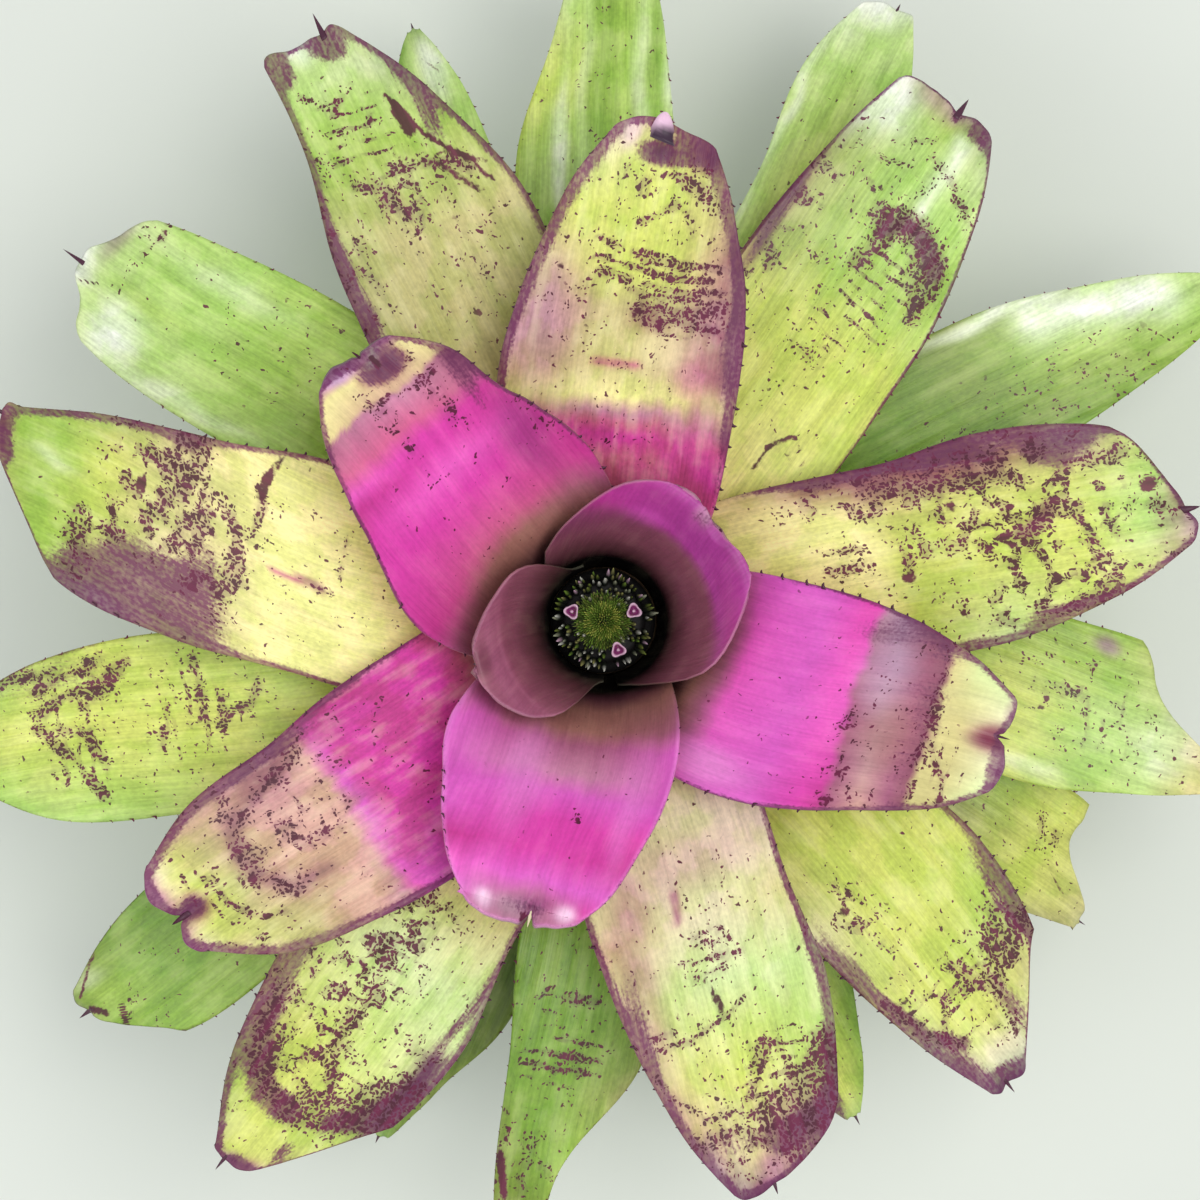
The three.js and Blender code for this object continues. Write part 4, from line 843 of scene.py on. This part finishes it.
def leafSheet():  # flat and closed: x from left (-1) to right (1), y from foot to tip, z 0 above and -1 below
    bm = bmesh.new()
    bmesh.ops.create_grid(bm, x_segments=leafShape["columns"], y_segments=leafShape["rows"], size=1)
    grown = bmesh.ops.extrude_face_region(bm, geom=bm.faces[:], use_keep_orig=True)["geom"]
    for vert in grown:
        if isinstance(vert, bmesh.types.BMVert):
            vert.co.z = -1
    bmesh.ops.recalc_face_normals(bm, faces=bm.faces)
    uv = bm.loops.layers.uv.new("OFBake")
    bm.verts.layers.float.new("claw")
    gap, rim = bakeMap["gap"], bakeMap["rim"]
    for face in bm.faces:
        heights = {round(vert.co.z) for vert in face.verts}
        for loop in face.loops:
            x, y, z = loop.vert.co
            across, along = gap + bakeMap["stripHalf"] * (x + 1), gap + bakeMap["heightHalf"] * (y + 1)
            if heights == {-1}:
                across += bakeMap["stripStep"]
            elif len(heights) == 2 and z < -0.5:
                if abs(face.normal.x) > 0.5:
                    across += math.copysign(rim, x)
                else:
                    along += math.copysign(rim, y)
            loop[uv].uv = across, along
    return meshFrom("leafSheet", bm)


def setAttribute(mesh, name, kind, values):
    layer = mesh.attributes.new(name, kind, "POINT")
    field = "color" if kind == "FLOAT_COLOR" else "vector"
    layer.data.foreach_set(field, np.ascontiguousarray(values, dtype=np.float32).ravel())


def growSpines(bm, form, look, order):  # the marginal teeth, and the claw at the tip
    draw = random.Random(50 + order)
    uv = bm.loops.layers.uv["OFBake"]
    isClaw = bm.verts.layers.float["claw"]
    size = 0.55 if order < 2 else 1 if order < 13 else 0.8  # the innermost teeth are small
    stops = np.linspace(0, 6, 121)
    cells = 0
    for side in (1, -1):
        arcs = form.arc(form.reachAt(np.full(121, float(side)), stops))
        place = arcs[50] + draw.uniform(0, 4)
        while place < arcs[-1] - 4:
            here = np.array([side * 0.985]), np.array([np.interp(place, arcs, stops)])
            base = Vector(form.point(*here)[0][0])
            forward, sideways, up = (Vector(v[0]) for v in form.axes(*here))
            grow = draw.uniform(0.75, 1.2) * size
            verts = spine(bm, base, (forward, up, sideways * side, forward), leafShape["toothLength"] * grow,
                          leafShape["toothHalfBase"] * grow, leafShape["toothCurl"], **toothForm)
            cells = placeSpineUv(verts, uv, base, cells)
            place += leafShape["toothSpacing"] * draw.uniform(0.8, 1.2)
    here = np.array([0.0]), np.array([look.get("clawRoot", 5.99)])
    forward, sideways, up = (Vector(v[0]) for v in form.axes(*here))
    length, halfBase, curl = look["claw"]
    base = Vector(form.point(*here)[0][0]) - forward * 0.3 * length - up * leafShape["tipPinch"]
    verts = spine(bm, base, (sideways, up, forward, up), 1.3 * length, halfBase, curl, **clawForm)
    for vert in verts:
        vert[isClaw] = 1 + min((vert.co - base).length / length, 1)
    placeSpineUv(verts, uv, base, cells)


def placeSpineUv(verts, uv, base, cell):  # a small square of the bake for each spine
    size = bakeMap["square"]
    row, column = divmod(cell, bakeMap["squareColumns"])
    centre = Vector((bakeMap["squaresFrom"] + size * (column + 0.5), bakeMap["gap"] + size * (row + 0.5)))
    faces = {face for vert in verts for face in vert.link_faces}
    tip = max(verts, key=lambda vert: (vert.co - base).length)
    axis = (tip.co - base).normalized()
    far = (tip.co - base).length
    side = axis.orthogonal().normalized()
    other = axis.cross(side)
    for face in faces:
        cap = all(abs((vert.co - base).dot(axis)) < 0.3 * far for vert in face.verts) and len(face.verts) > 4
        for loop in face.loops:
            offset = loop.vert.co - base
            reach = 1 - 0.9 * min(max(offset.dot(axis) / far, 0), 1)
            flat = Vector((offset.dot(side), offset.dot(other)))
            flat = flat.normalized() if flat.length > 1e-6 else Vector((0, 0))
            loop[uv].uv = centre + flat * reach * size * (0.05 if cap else 0.45)
    return cell + 1


def makeLeaf(sheet, leaf, order, material):
    look = leafLooks[order]
    form = LeafForm(leaf, look)
    bm = bmesh.new()
    bm.from_mesh(sheet)
    sheetCount = len(bm.verts)
    flat = np.array([vert.co[:] for vert in bm.verts])
    growSpines(bm, form, look, order)
    spines = np.array([vert.co[:] for vert in bm.verts][sheetCount:])
    isClaw = bm.verts.layers.float["claw"]
    claws = np.array([vert[isClaw] for vert in bm.verts][sheetCount:])[:, None]
    bm.verts.layers.float.remove(isClaw)
    mesh = meshFrom(f"leaf{order + 1}", bm)

    u = -flat[:, 0]
    share = (flat[:, 1] + 1) / 2
    k = np.interp(share, [0, leafShape["sheathRows"], 1], [0, 2, 6])
    place, across, along = form.point(u, k)
    radius = smoothLine(form.profile, np.minimum(along, 6) / 6)[..., 0]
    half = form.halfWidth(u, along, radius)
    arc = form.arc(along)
    out = form.axes(u, k)[2]
    lift = relief(u, k, across, arc, order) - np.where(flat[:, 2] < -0.5, 0.5, -0.5) * thickness(u, k)
    place = place + out * lift[:, None]
    mesh.vertices.foreach_set("co", (np.concatenate([place, spines]) * mm).astype(np.float32).ravel())

    tint, marks = paintLeaf(form, look, u, along, across, half, order)
    under = (flat[:, 2] < -0.5).astype(float)
    spineCount = len(spines)
    toothTint = linearPalette["tipPurple" if order < 13 else "maroon"]
    clawName = look.get("clawTint", "tipPurple")
    clawEnd = linearPalette[look.get("clawEnd", clawName)]
    clawTint = mix(linearPalette[clawName], clawEnd, smooth(claws, 1.45, 1.8))
    spineTint = np.where(claws > 0, clawTint, toothTint)
    tints = np.column_stack([np.concatenate([tint, spineTint]), np.ones(len(u) + spineCount)])
    setAttribute(mesh, "tint", "FLOAT_COLOR", tints)
    none = 0 * u
    fields = dict(  # each with its values on the spines; leaves and their undersides lie apart in the noise
        leafPlace=((across + 97.3 * order, arc + 317 * under, none), (0, 0, 0)),
        leafMarks=((marks["spots"], marks["lines"], marks["stain"]), (0, 0, 0)),
        leafRows=((marks["dark"], marks["row"], none), (0, 0, 0)),
        leafState=((under, none, none), (0, 1, 0)),
    )
    for name, (columns, onSpines) in fields.items():
        spineRows = np.tile(np.array(onSpines, float), (spineCount, 1))
        setAttribute(mesh, name, "FLOAT_VECTOR", np.concatenate([np.column_stack(columns), spineRows]))
    mesh.materials.append(material)
    mesh.shade_smooth()
    return linked(f"leafBlade{order + 1:02d}", mesh)


# how each of the three kinds of leaf looks: strengths run from 0 to 1
leafSkins = dict(
    leaf_inner=dict(roughness=0.42, coat=0.07, fibre=0.26, mottle=0.22, pale=0.03, blotch=0),
    leaf_middle=dict(roughness=0.45, coat=0.08, fibre=0.36, mottle=0.4, pale=0.2, blotch=0.45),
    leaf_outer=dict(roughness=0.38, coat=0.16, fibre=0.45, mottle=0.4, pale=0.12, blotch=0.45),
)


# noises over the leaf's surface: waves per mm across and along, and octaves
leafNoises = dict(
    fibre=((1.3, 0.06), 3), broad=((0.3, 0.03), 2), mottle=((0.1, 0.08), 4), grainy=((0.9, 0.6), 2),
    film=((0.1, 0.07), 4), speck=((1.1, 0.9), 1), ragged=((0.15, 0.2), 3), scales=((0.9, 2.2), 3),
    height=((1.3, 0.06), 2), bend=((0.03, 0.018), 2), quiver=((0.12, 0.05), 2), clump=((0.16, 0.16), 2),
)
dotLook = dict(
    cells=((1.1, 1.0), (1.7, 0.5), (2.9, 0.09)),  # mm from dot to dot, and how many of them are drawn
    squat=0.85, reach=0.22, crowded=0.17, small=0.62, spread=0.66, rough=0.22, edge=0.07,
    warpScale=(0.3, 0.3), warpBy=(3, 3, 0), rowGap=4.3, bendBy=1.8, quiverBy=0.5, most=1.1, ink=0.95,
)
stainLook = dict(edge=(0.25, 0.75), haze=0.42, blush=0.4)


def leafMaterial(slot, skin):
    g = Graph(slot)

    def surfaceNoise(name, vector=None):
        scale, detail = leafNoises[name]
        return g.noise(vector or place, (*scale, 1), detail, flat=True)

    place = g.attribute("leafPlace")
    tint = g.attribute("tint", "Color")
    spots, lines, stain = g.parts(g.attribute("leafMarks"))
    dark, row, _ = g.parts(g.attribute("leafRows"))
    under, spined, _ = g.parts(g.attribute("leafState"))

    fibre, broad, mottle, grainy, film, speck, ragged = map(
        surfaceNoise, ("fibre", "broad", "mottle", "grainy", "film", "speck", "ragged"))
    light = 1 + skin["fibre"] * (fibre + broad - 1) + skin["mottle"] * (mottle + grainy - 1)
    base = g.shade(tint, light)
    blotch = g.ease(film, 0.42, 0.6, 0, skin["blotch"])
    base = g.blend(blotch, base, g.colour("celadon"), "MULTIPLY")
    pale = g.ease(0.6 * mottle + 0.4 * broad, 0.46, 0.66, 0, skin["pale"])
    base = g.blend(pale, base, g.colour("cream"))

    edged = stain + 0.5 * (film - 0.5) + 0.5 * (fibre - 0.5) + 0.5 * (speck - 0.5)
    threadbare = 0.88 + 0.8 * (grainy - 0.5) + 0.7 * (broad - 0.5) + 0.4 * (fibre - 0.5)
    stained = g.ease(edged, *stainLook["edge"]) * threadbare
    filmed = g.multiply(base, g.colour("film"))  # the purple darkens what lies under it
    filmed = g.blend(stainLook["haze"], filmed, g.colour("haze"))
    base = g.blend(stained, base, filmed)

    look = dotLook
    stray = g.noise(place, (*look["warpScale"], 1), 2, "Color", flat=True)
    warp = g.shift(place, g.stretch(stray, look["warpBy"]))
    clump = g.ease(surfaceNoise("clump", warp), 0.42, 0.64)
    along = g.parts(place)[1]
    phase = along * (1 / look["rowGap"]) + look["bendBy"] * surfaceNoise("bend")
    phase = phase + look["quiverBy"] * surfaceNoise("quiver")
    ridge = g.ease(g.maths("SINE", phase * 2 * math.pi), 0.2, 0.95)
    ragged = g.ease(ragged, 0.38, 0.62)
    crowd = spots * (0.1 + 0.75 * clump) + lines * ridge * (0.25 + 0.85 * ragged)
    crowd = g.maths("MINIMUM", crowd + row * (0.75 + 0.6 * ragged), look["most"])
    blush = g.ease(crowd, 0.3, look["most"], 0, stainLook["blush"])  # purple round crowded dots
    base = g.blend(blush, base, filmed)
    marked = g.ease(dark + 0.5 * (film - 0.5) + 0.6 * (grainy - 0.5), 0.35, 0.65)
    packed = crowd * (0.5 + 0.5 * crowd)
    for cell, share in look["cells"]:
        dots = {"Vector": g.stretch(warp, (1 / cell, look["squat"] / cell, 1)), "Scale": 1.0}
        near = g.make("ShaderNodeTexVoronoi", {"voronoi_dimensions": "2D"}, dots, "Distance")
        drawn, size, _ = g.parts(Wire(g, near.socket.node.outputs["Color"]))
        reach = (look["reach"] + look["crowded"] * crowd) * (look["small"] + look["spread"] * size)
        dot = g.ease(near + look["rough"] * (speck - 0.5) - reach, look["edge"], -look["edge"])
        dot = dot * g.ease(packed * share - drawn, 0, 0.03)
        marked = g.maths("MAXIMUM", marked, dot)
    ink = g.blend(g.ease(broad, 0.35, 0.65), g.colour("ink"), g.colour("maroon"))
    painted = g.blend(marked * look["ink"], base, ink)

    scaled = g.ease(surfaceNoise("scales"), 0.4, 0.65, 0.15, 0.5)
    below = g.blend(scaled, base, g.colour("silver"))  # bands of fine grey scales dull the underside
    surface = g.blend(under, painted, below)
    surface = g.blend(spined, surface, tint)
    bump = g.bump(0.35, 0.0004, surfaceNoise("height"))
    return g.finish({
        "Base Color": surface,
        "Roughness": skin["roughness"] + 0.12 * (mottle - 0.5) + 0.2 * under + 0.1 * marked,
        "Coat Weight": skin["coat"], "Coat Roughness": 0.28, "Specular IOR Level": 0.3, "Normal": bump,
    })


sheet = leafSheet()
leafMaterials = {slot: leafMaterial(slot, skin) for slot, skin in leafSkins.items()}
for order, leaf in enumerate(leafTable):
    slot = "leaf_inner" if order < 5 else "leaf_middle" if order < 13 else "leaf_outer"
    piece = makeLeaf(sheet, leaf, order, leafMaterials[slot])
    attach(piece, "root")
    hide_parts(f"leaf_{order + 1:02d}")
bpy.data.meshes.remove(sheet)
print("leaves grown")

nest = dict(
    radius=15.6, plateRadius=13.5, base=50.35, plateHeight=4, domeRise=3.5, seed=7,
    budCount=190, budRadius=0.85, budLength=6.6, budInner=5.8, budOuter=15.2, budLast=12.9, pinkFrom=11,
    needleCount=420, needleRadius=0.34, needleLength=6.6, needleRing=6.4, heart=4.3,
)
flowerShape = dict(ring=10.2, azimuths=(163, 18, 298), turns=(0.2, 1.4, 0.9), stalkRadius=1.1,
                   stalkLength=5, mouthRadius=2.25, height=4.3, wall=0.5, corner=0.17, cornerRise=0.35)
goldenAngle = math.pi * (3 - math.sqrt(5))


def nestTop(radius):
    return nest["base"] + nest["plateHeight"] + nest["domeRise"] * (1 - (radius / nest["radius"]) ** 2)


def turned(name, outline, steps):  # an outline spun about the upright axis, as a closed mesh
    bm = bmesh.new()
    verts = [bm.verts.new((x, 0, z)) for x, z in outline]
    edges = [bm.edges.new(pair) for pair in zip(verts, verts[1:])]
    bmesh.ops.spin(bm, geom=verts + edges, cent=(0, 0, 0), axis=(0, 0, 1), angle=2 * math.pi,
                   steps=steps, use_merge=True)
    bmesh.ops.remove_doubles(bm, verts=bm.verts, dist=1e-5)
    bmesh.ops.recalc_face_normals(bm, faces=bm.faces)
    return meshFrom(name, bm)


flowerPlaces = [Vector((math.cos(math.radians(a)), math.sin(math.radians(a)), 0)) * flowerShape["ring"]
                for a in flowerShape["azimuths"]]


def finishPiece(name, bm, material, tints):
    bmesh.ops.scale(bm, vec=(mm, mm, mm), verts=bm.verts)
    mesh = meshFrom(name, bm)
    if tints is not None:
        setAttribute(mesh, "tint", "FLOAT_COLOR", tints)
    mesh.materials.append(material)
    mesh.shade_smooth()
    piece = linked(name, mesh)
    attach(piece, "root")
    return piece


def makeNest(material):
    draw = random.Random(nest["seed"])
    edge, base, chamfer = nest["plateRadius"], nest["base"], 0.8
    plate = [(0, base), (edge - chamfer, base), (edge, base + chamfer)]
    plate += [(edge * s, nestTop(edge * s)) for s in (1, 0.85, 0.65, 0.4, 0.2, 0)]
    bud = turned("bud", [(0, 0), (0.62, 0), (1, 0.3), (0.9, 0.5), (0.5, 0.78), (0.18, 0.94), (0, 1)], 7)
    needle = turned("needle", [(0, 0), (0.8, 0), (1, 0.35), (0.5, 0.8), (0, 1)], 4)
    disc = turned("disc", plate, 40)
    bm = bmesh.new()
    bm.from_mesh(disc)
    # the plate between the buds is near black: painted shade in the gaps between them
    tints = [np.tile([*linearPalette["cupShadeBlack"], 1], (len(bm.verts), 1))]

    def plant(shape, radius, length, distance, angle, lean, low, high, start, sunk=1):
        before = len(bm.verts)
        bm.from_mesh(shape)
        verts = list(bm.verts)[before:]
        rise = np.array([vert.co.z for vert in verts])
        place = Matrix.Rotation(angle, 4, "Z") @ Matrix.Translation((distance, 0, nestTop(distance) - sunk))
        place = place @ Matrix.Rotation(lean, 4, "Y") @ Matrix.Diagonal((radius, radius, length, 1))
        bmesh.ops.transform(bm, matrix=place, verts=verts)
        share = smooth(rise, start, 1)[:, None]
        colours = mix(linearPalette[low], linearPalette[high], share)
        tints.append(np.column_stack([colours, np.ones(len(verts))]))

    clear = flowerShape["mouthRadius"] + nest["budRadius"]
    for n in range(nest["budCount"]):
        share = math.sqrt((n + 0.5) / nest["budCount"])
        distance = mix(nest["budInner"], nest["budOuter"], share ** 1.4)
        angle = n * goldenAngle + 0.2 * draw.uniform(-1, 1)
        size = draw.uniform(0.75, 1.2)
        last = "palePink" if distance > nest["pinkFrom"] else "olive"
        tip = draw.choice(["silver", "white", "olive", "moss", "grass", last])
        here = Vector((math.cos(angle), math.sin(angle), 0)) * distance
        if any((here - flower).length < clear for flower in flowerPlaces):
            continue
        lean = 0.02 * distance + 0.12 * max(distance - nest["budLast"], 0) + 0.1 * draw.uniform(-1, 1)
        # each bud darkens to near black at its foot: painted shade down among the others
        plant(bud, nest["budRadius"] * size, nest["budLength"] * size, min(distance, nest["budLast"]),
              angle, lean, "budGapShade", tip, 0.55)
    for n in range(nest["needleCount"]):
        distance = nest["needleRing"] * math.sqrt((n + 0.5) / nest["needleCount"])
        length = nest["needleLength"] * draw.uniform(0.85, 1.1)
        if distance < nest["heart"]:
            low, tip = "moss", draw.choice(["lime", "grass", "leafGreen"])
        else:
            low, tip = "forest", draw.choice(["moss", "forest", "grass"])
        plant(needle, nest["needleRadius"], length, distance, n * goldenAngle,
              0.09 * distance, low, tip, -0.3)
    for mesh in (bud, needle, disc):
        bpy.data.meshes.remove(mesh)
    piece = finishPiece("budNest", bm, material, np.concatenate(tints))
    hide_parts("flower_head")


def makeBloom(order, material):
    shape = flowerShape
    foot = nestTop(shape["ring"]) - shape["stalkLength"] / 2 + stemShape["seatGap"]
    throat = foot + shape["stalkLength"]
    mouth, height, wall = shape["mouthRadius"], shape["height"], shape["wall"]
    outline = [(0, foot), (shape["stalkRadius"] * 0.8, foot), (shape["stalkRadius"], foot + 0.4),
               (shape["stalkRadius"], throat), (0.62 * mouth, throat + 0.2 * height),
               (0.8 * mouth, throat + 0.5 * height), (0.9 * mouth, throat + 0.8 * height),
               (mouth, throat + height), (mouth - 0.5 * wall, throat + 1.04 * height),
               (mouth - wall, throat + 0.98 * height), (0.84 * mouth - wall, throat + 0.7 * height),
               (0.66 * mouth - wall, throat + 0.5 * height), (0.55, throat + 0.42 * height),
               (0.5, throat + 0.75 * height), (0.35, throat + 0.86 * height), (0, throat + 0.9 * height)]
    mesh = turned("bloom", outline, 36)
    bm = bmesh.new()
    bm.from_mesh(mesh)
    bpy.data.meshes.remove(mesh)
    face = math.radians(shape["azimuths"][order]) + shape["turns"][order]
    tints = []
    for vert in bm.verts:
        x, y, z = vert.co
        radius, angle = math.hypot(x, y), math.atan2(y, x) - face
        open = smooth(z, throat, throat + height)
        corner = shape["corner"] * open * smooth(radius, 0.7, 1.6) * math.cos(3 * angle)
        inside = radius < mouth - 1.2 * wall and z > throat + 0.4 * height
        name = "palePink" if not inside or radius < 0.52 else "lavender" if radius > 1.4 else "plum"
        upward = smooth(z, throat - 1, throat + 1.5)
        tints.append([*mix(linearPalette["forest"], linearPalette[name], upward), 1])
        rise = shape["cornerRise"] * open * math.cos(3 * angle)
        vert.co = Vector((x * (1 + corner), y * (1 + corner), z + rise))
    bmesh.ops.translate(bm, vec=flowerPlaces[order], verts=bm.verts)
    piece = finishPiece(f"bloom{order + 1}", bm, material, np.array(tints))
    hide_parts(f"flower_{order + 1}")


def tintedMaterial(name, roughness, coat, grain, spread):
    g = Graph(name)
    coordinates = g.position()
    fine = g.noise(coordinates, (grain, grain, grain * 0.4), 4)
    light = 1 + spread * (fine - 0.5)
    surface = g.shade(g.attribute("tint", "Color"), light)
    bump = g.bump(0.3, 0.0002, fine)
    return g.finish({"Base Color": surface, "Roughness": roughness + 0.2 * (fine - 0.5),
                     "Coat Weight": coat, "Normal": bump})


makeNest(tintedMaterial("flower_head", 0.6, 0.04, 900, 0.6))
petalMaterial = tintedMaterial("petals", 0.45, 0.1, 1400, 0.25)
for order in range(len(flowerPlaces)):
    makeBloom(order, petalMaterial)
print("buds and flowers made")

stemLook = dict(
    rings=26, ringDepth=0.55, sides=96, chamfer=1.5, dent=0.006,
    bark=((0.09, 0.052, 0.028, 1), (0.32, 0.22, 0.12, 1)), strands=(0.42, 0.33, 0.2, 1),
    pith=((0.42, 0.3, 0.17, 1), (0.66, 0.56, 0.38, 1)), rind=(0.24, 0.15, 0.08, 1),
    rindFrom=(0.0135, 0.0165), cutBelow=(0.0006, 0.0001), cupShadeFrom=(0.042, 0.047),  # in metres
)


def stemMaterial():
    look = stemLook
    g = Graph("stem")
    coordinates = g.position()
    x, y, z = g.parts(coordinates)
    bark = g.noise(coordinates, (260, 260, 900), 5)
    fibre = g.noise(coordinates, (1500, 1500, 90), 3)
    cells = g.noise(coordinates, (900, 900, 900), 3)
    brown = g.blend(g.ease(bark, 0.35, 0.7), *look["bark"])
    brown = g.blend(g.ease(fibre, 0.5, 0.75, 0, 0.5), brown, look["strands"])
    radius = (x * x + y * y) ** 0.5
    pith = g.blend(g.ease(cells, 0.35, 0.7), *look["pith"])
    ringed = g.blend(g.ease(radius, *look["rindFrom"]), pith, look["rind"])
    surface = g.blend(g.ease(z, *look["cutBelow"]), brown, ringed)
    surface = g.blend(g.ease(z, *look["cupShadeFrom"]), surface, g.colour("cupShadeBlack"))  # painted shade: darker towards the top, where the stump stands deep in the cup
    bump = g.bump(0.6, 0.0006, bark + 0.4 * fibre)
    return g.finish({"Base Color": surface, "Roughness": 0.75 + 0.2 * (bark - 0.5), "Normal": bump})


def makeStem():
    foot, top, height = stemShape["footRadius"], stemShape["topRadius"], stemShape["height"]
    chamfer = stemLook["chamfer"]
    outline = [(0, 0), (foot * 0.35, 0), (foot * 0.7, 0), (foot - chamfer, 0), (foot - 0.4, 0.5)]
    for n in range(1, stemLook["rings"] * 4):
        share = n / (stemLook["rings"] * 4)
        scar = stemLook["ringDepth"] * (0.5 + 0.5 * math.cos(0.5 * math.pi * n)) * smooth(share, 0, 0.06)
        outline.append((mix(foot, top, share) - scar, mix(chamfer, height - chamfer, share)))
    outline += [(top - chamfer, height), (top * 0.5, height), (0, height)]
    mesh = turned("stem", outline, stemLook["sides"])
    bm = bmesh.new()
    bm.from_mesh(mesh)
    bpy.data.meshes.remove(mesh)
    for vert in bm.verts:
        angle = math.atan2(vert.co.y, vert.co.x)
        dents = math.sin(7 * angle + vert.co.z * 0.3) * math.sin(3 * angle - vert.co.z * 0.2)
        dent = 1 - stemLook["dent"] * (1 + dents)
        vert.co.x *= dent
        vert.co.y *= dent
    piece = finishPiece("stump", bm, stemMaterial(), None)
    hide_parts("stem")


makeStem()
print("stem made")

# the floor and the lights, in metres and watts
studio = dict(
    floor=(0.74, 0.77, 0.71), floorSize=2, floorShade=0.96, sky=(0.93, 0.96, 1.0), skyStrength=0.66,
    aim=(0, 0, 0.1),
    key=dict(place=(0.4, 0.05, 1.1), size=0.8, power=6, colour=(1.0, 0.98, 0.94)),
    fill=dict(place=(-0.7, -0.4, 0.9), size=0.9, power=3.5, colour=(1, 1, 1)),
)


def makeFloor():
    bm = bmesh.new()
    bmesh.ops.create_grid(bm, x_segments=2, y_segments=2, size=studio["floorSize"])
    mesh = meshFrom("floor", bm)
    g = Graph("floor")
    coordinates = g.position()
    cloud = g.noise(coordinates, (6, 6, 6), 2)
    shaded = [studio["floorShade"] * c for c in studio["floor"]]
    tone = g.blend(g.ease(cloud, 0.3, 0.7), (*studio["floor"], 1), (*shaded, 1))
    mesh.materials.append(g.finish({"Base Color": tone, "Roughness": 0.9}))
    linked("floor", mesh)


def areaLight(name, place, size, power, colour):
    data = bpy.data.lights.new(name, "AREA")
    data.shape = "DISK"
    data.size = size
    data.energy = power
    data.color = colour
    light = linked(name, data)
    light.location = place
    light.rotation_euler = (Vector(studio["aim"]) - Vector(place)).to_track_quat("-Z", "Y").to_euler()


def makeLight():
    world = bpy.data.worlds.new("studio")
    bpy.context.scene.world = world
    world.use_nodes = True
    sky = world.node_tree.nodes["Background"]
    sky.inputs["Color"].default_value = (*studio["sky"], 1)
    sky.inputs["Strength"].default_value = studio["skyStrength"]
    for name in ("key", "fill"):
        areaLight(name, **studio[name])
    bpy.context.scene.view_settings.view_transform = "Standard"


makeFloor()
makeLight()
print("floor and light made")
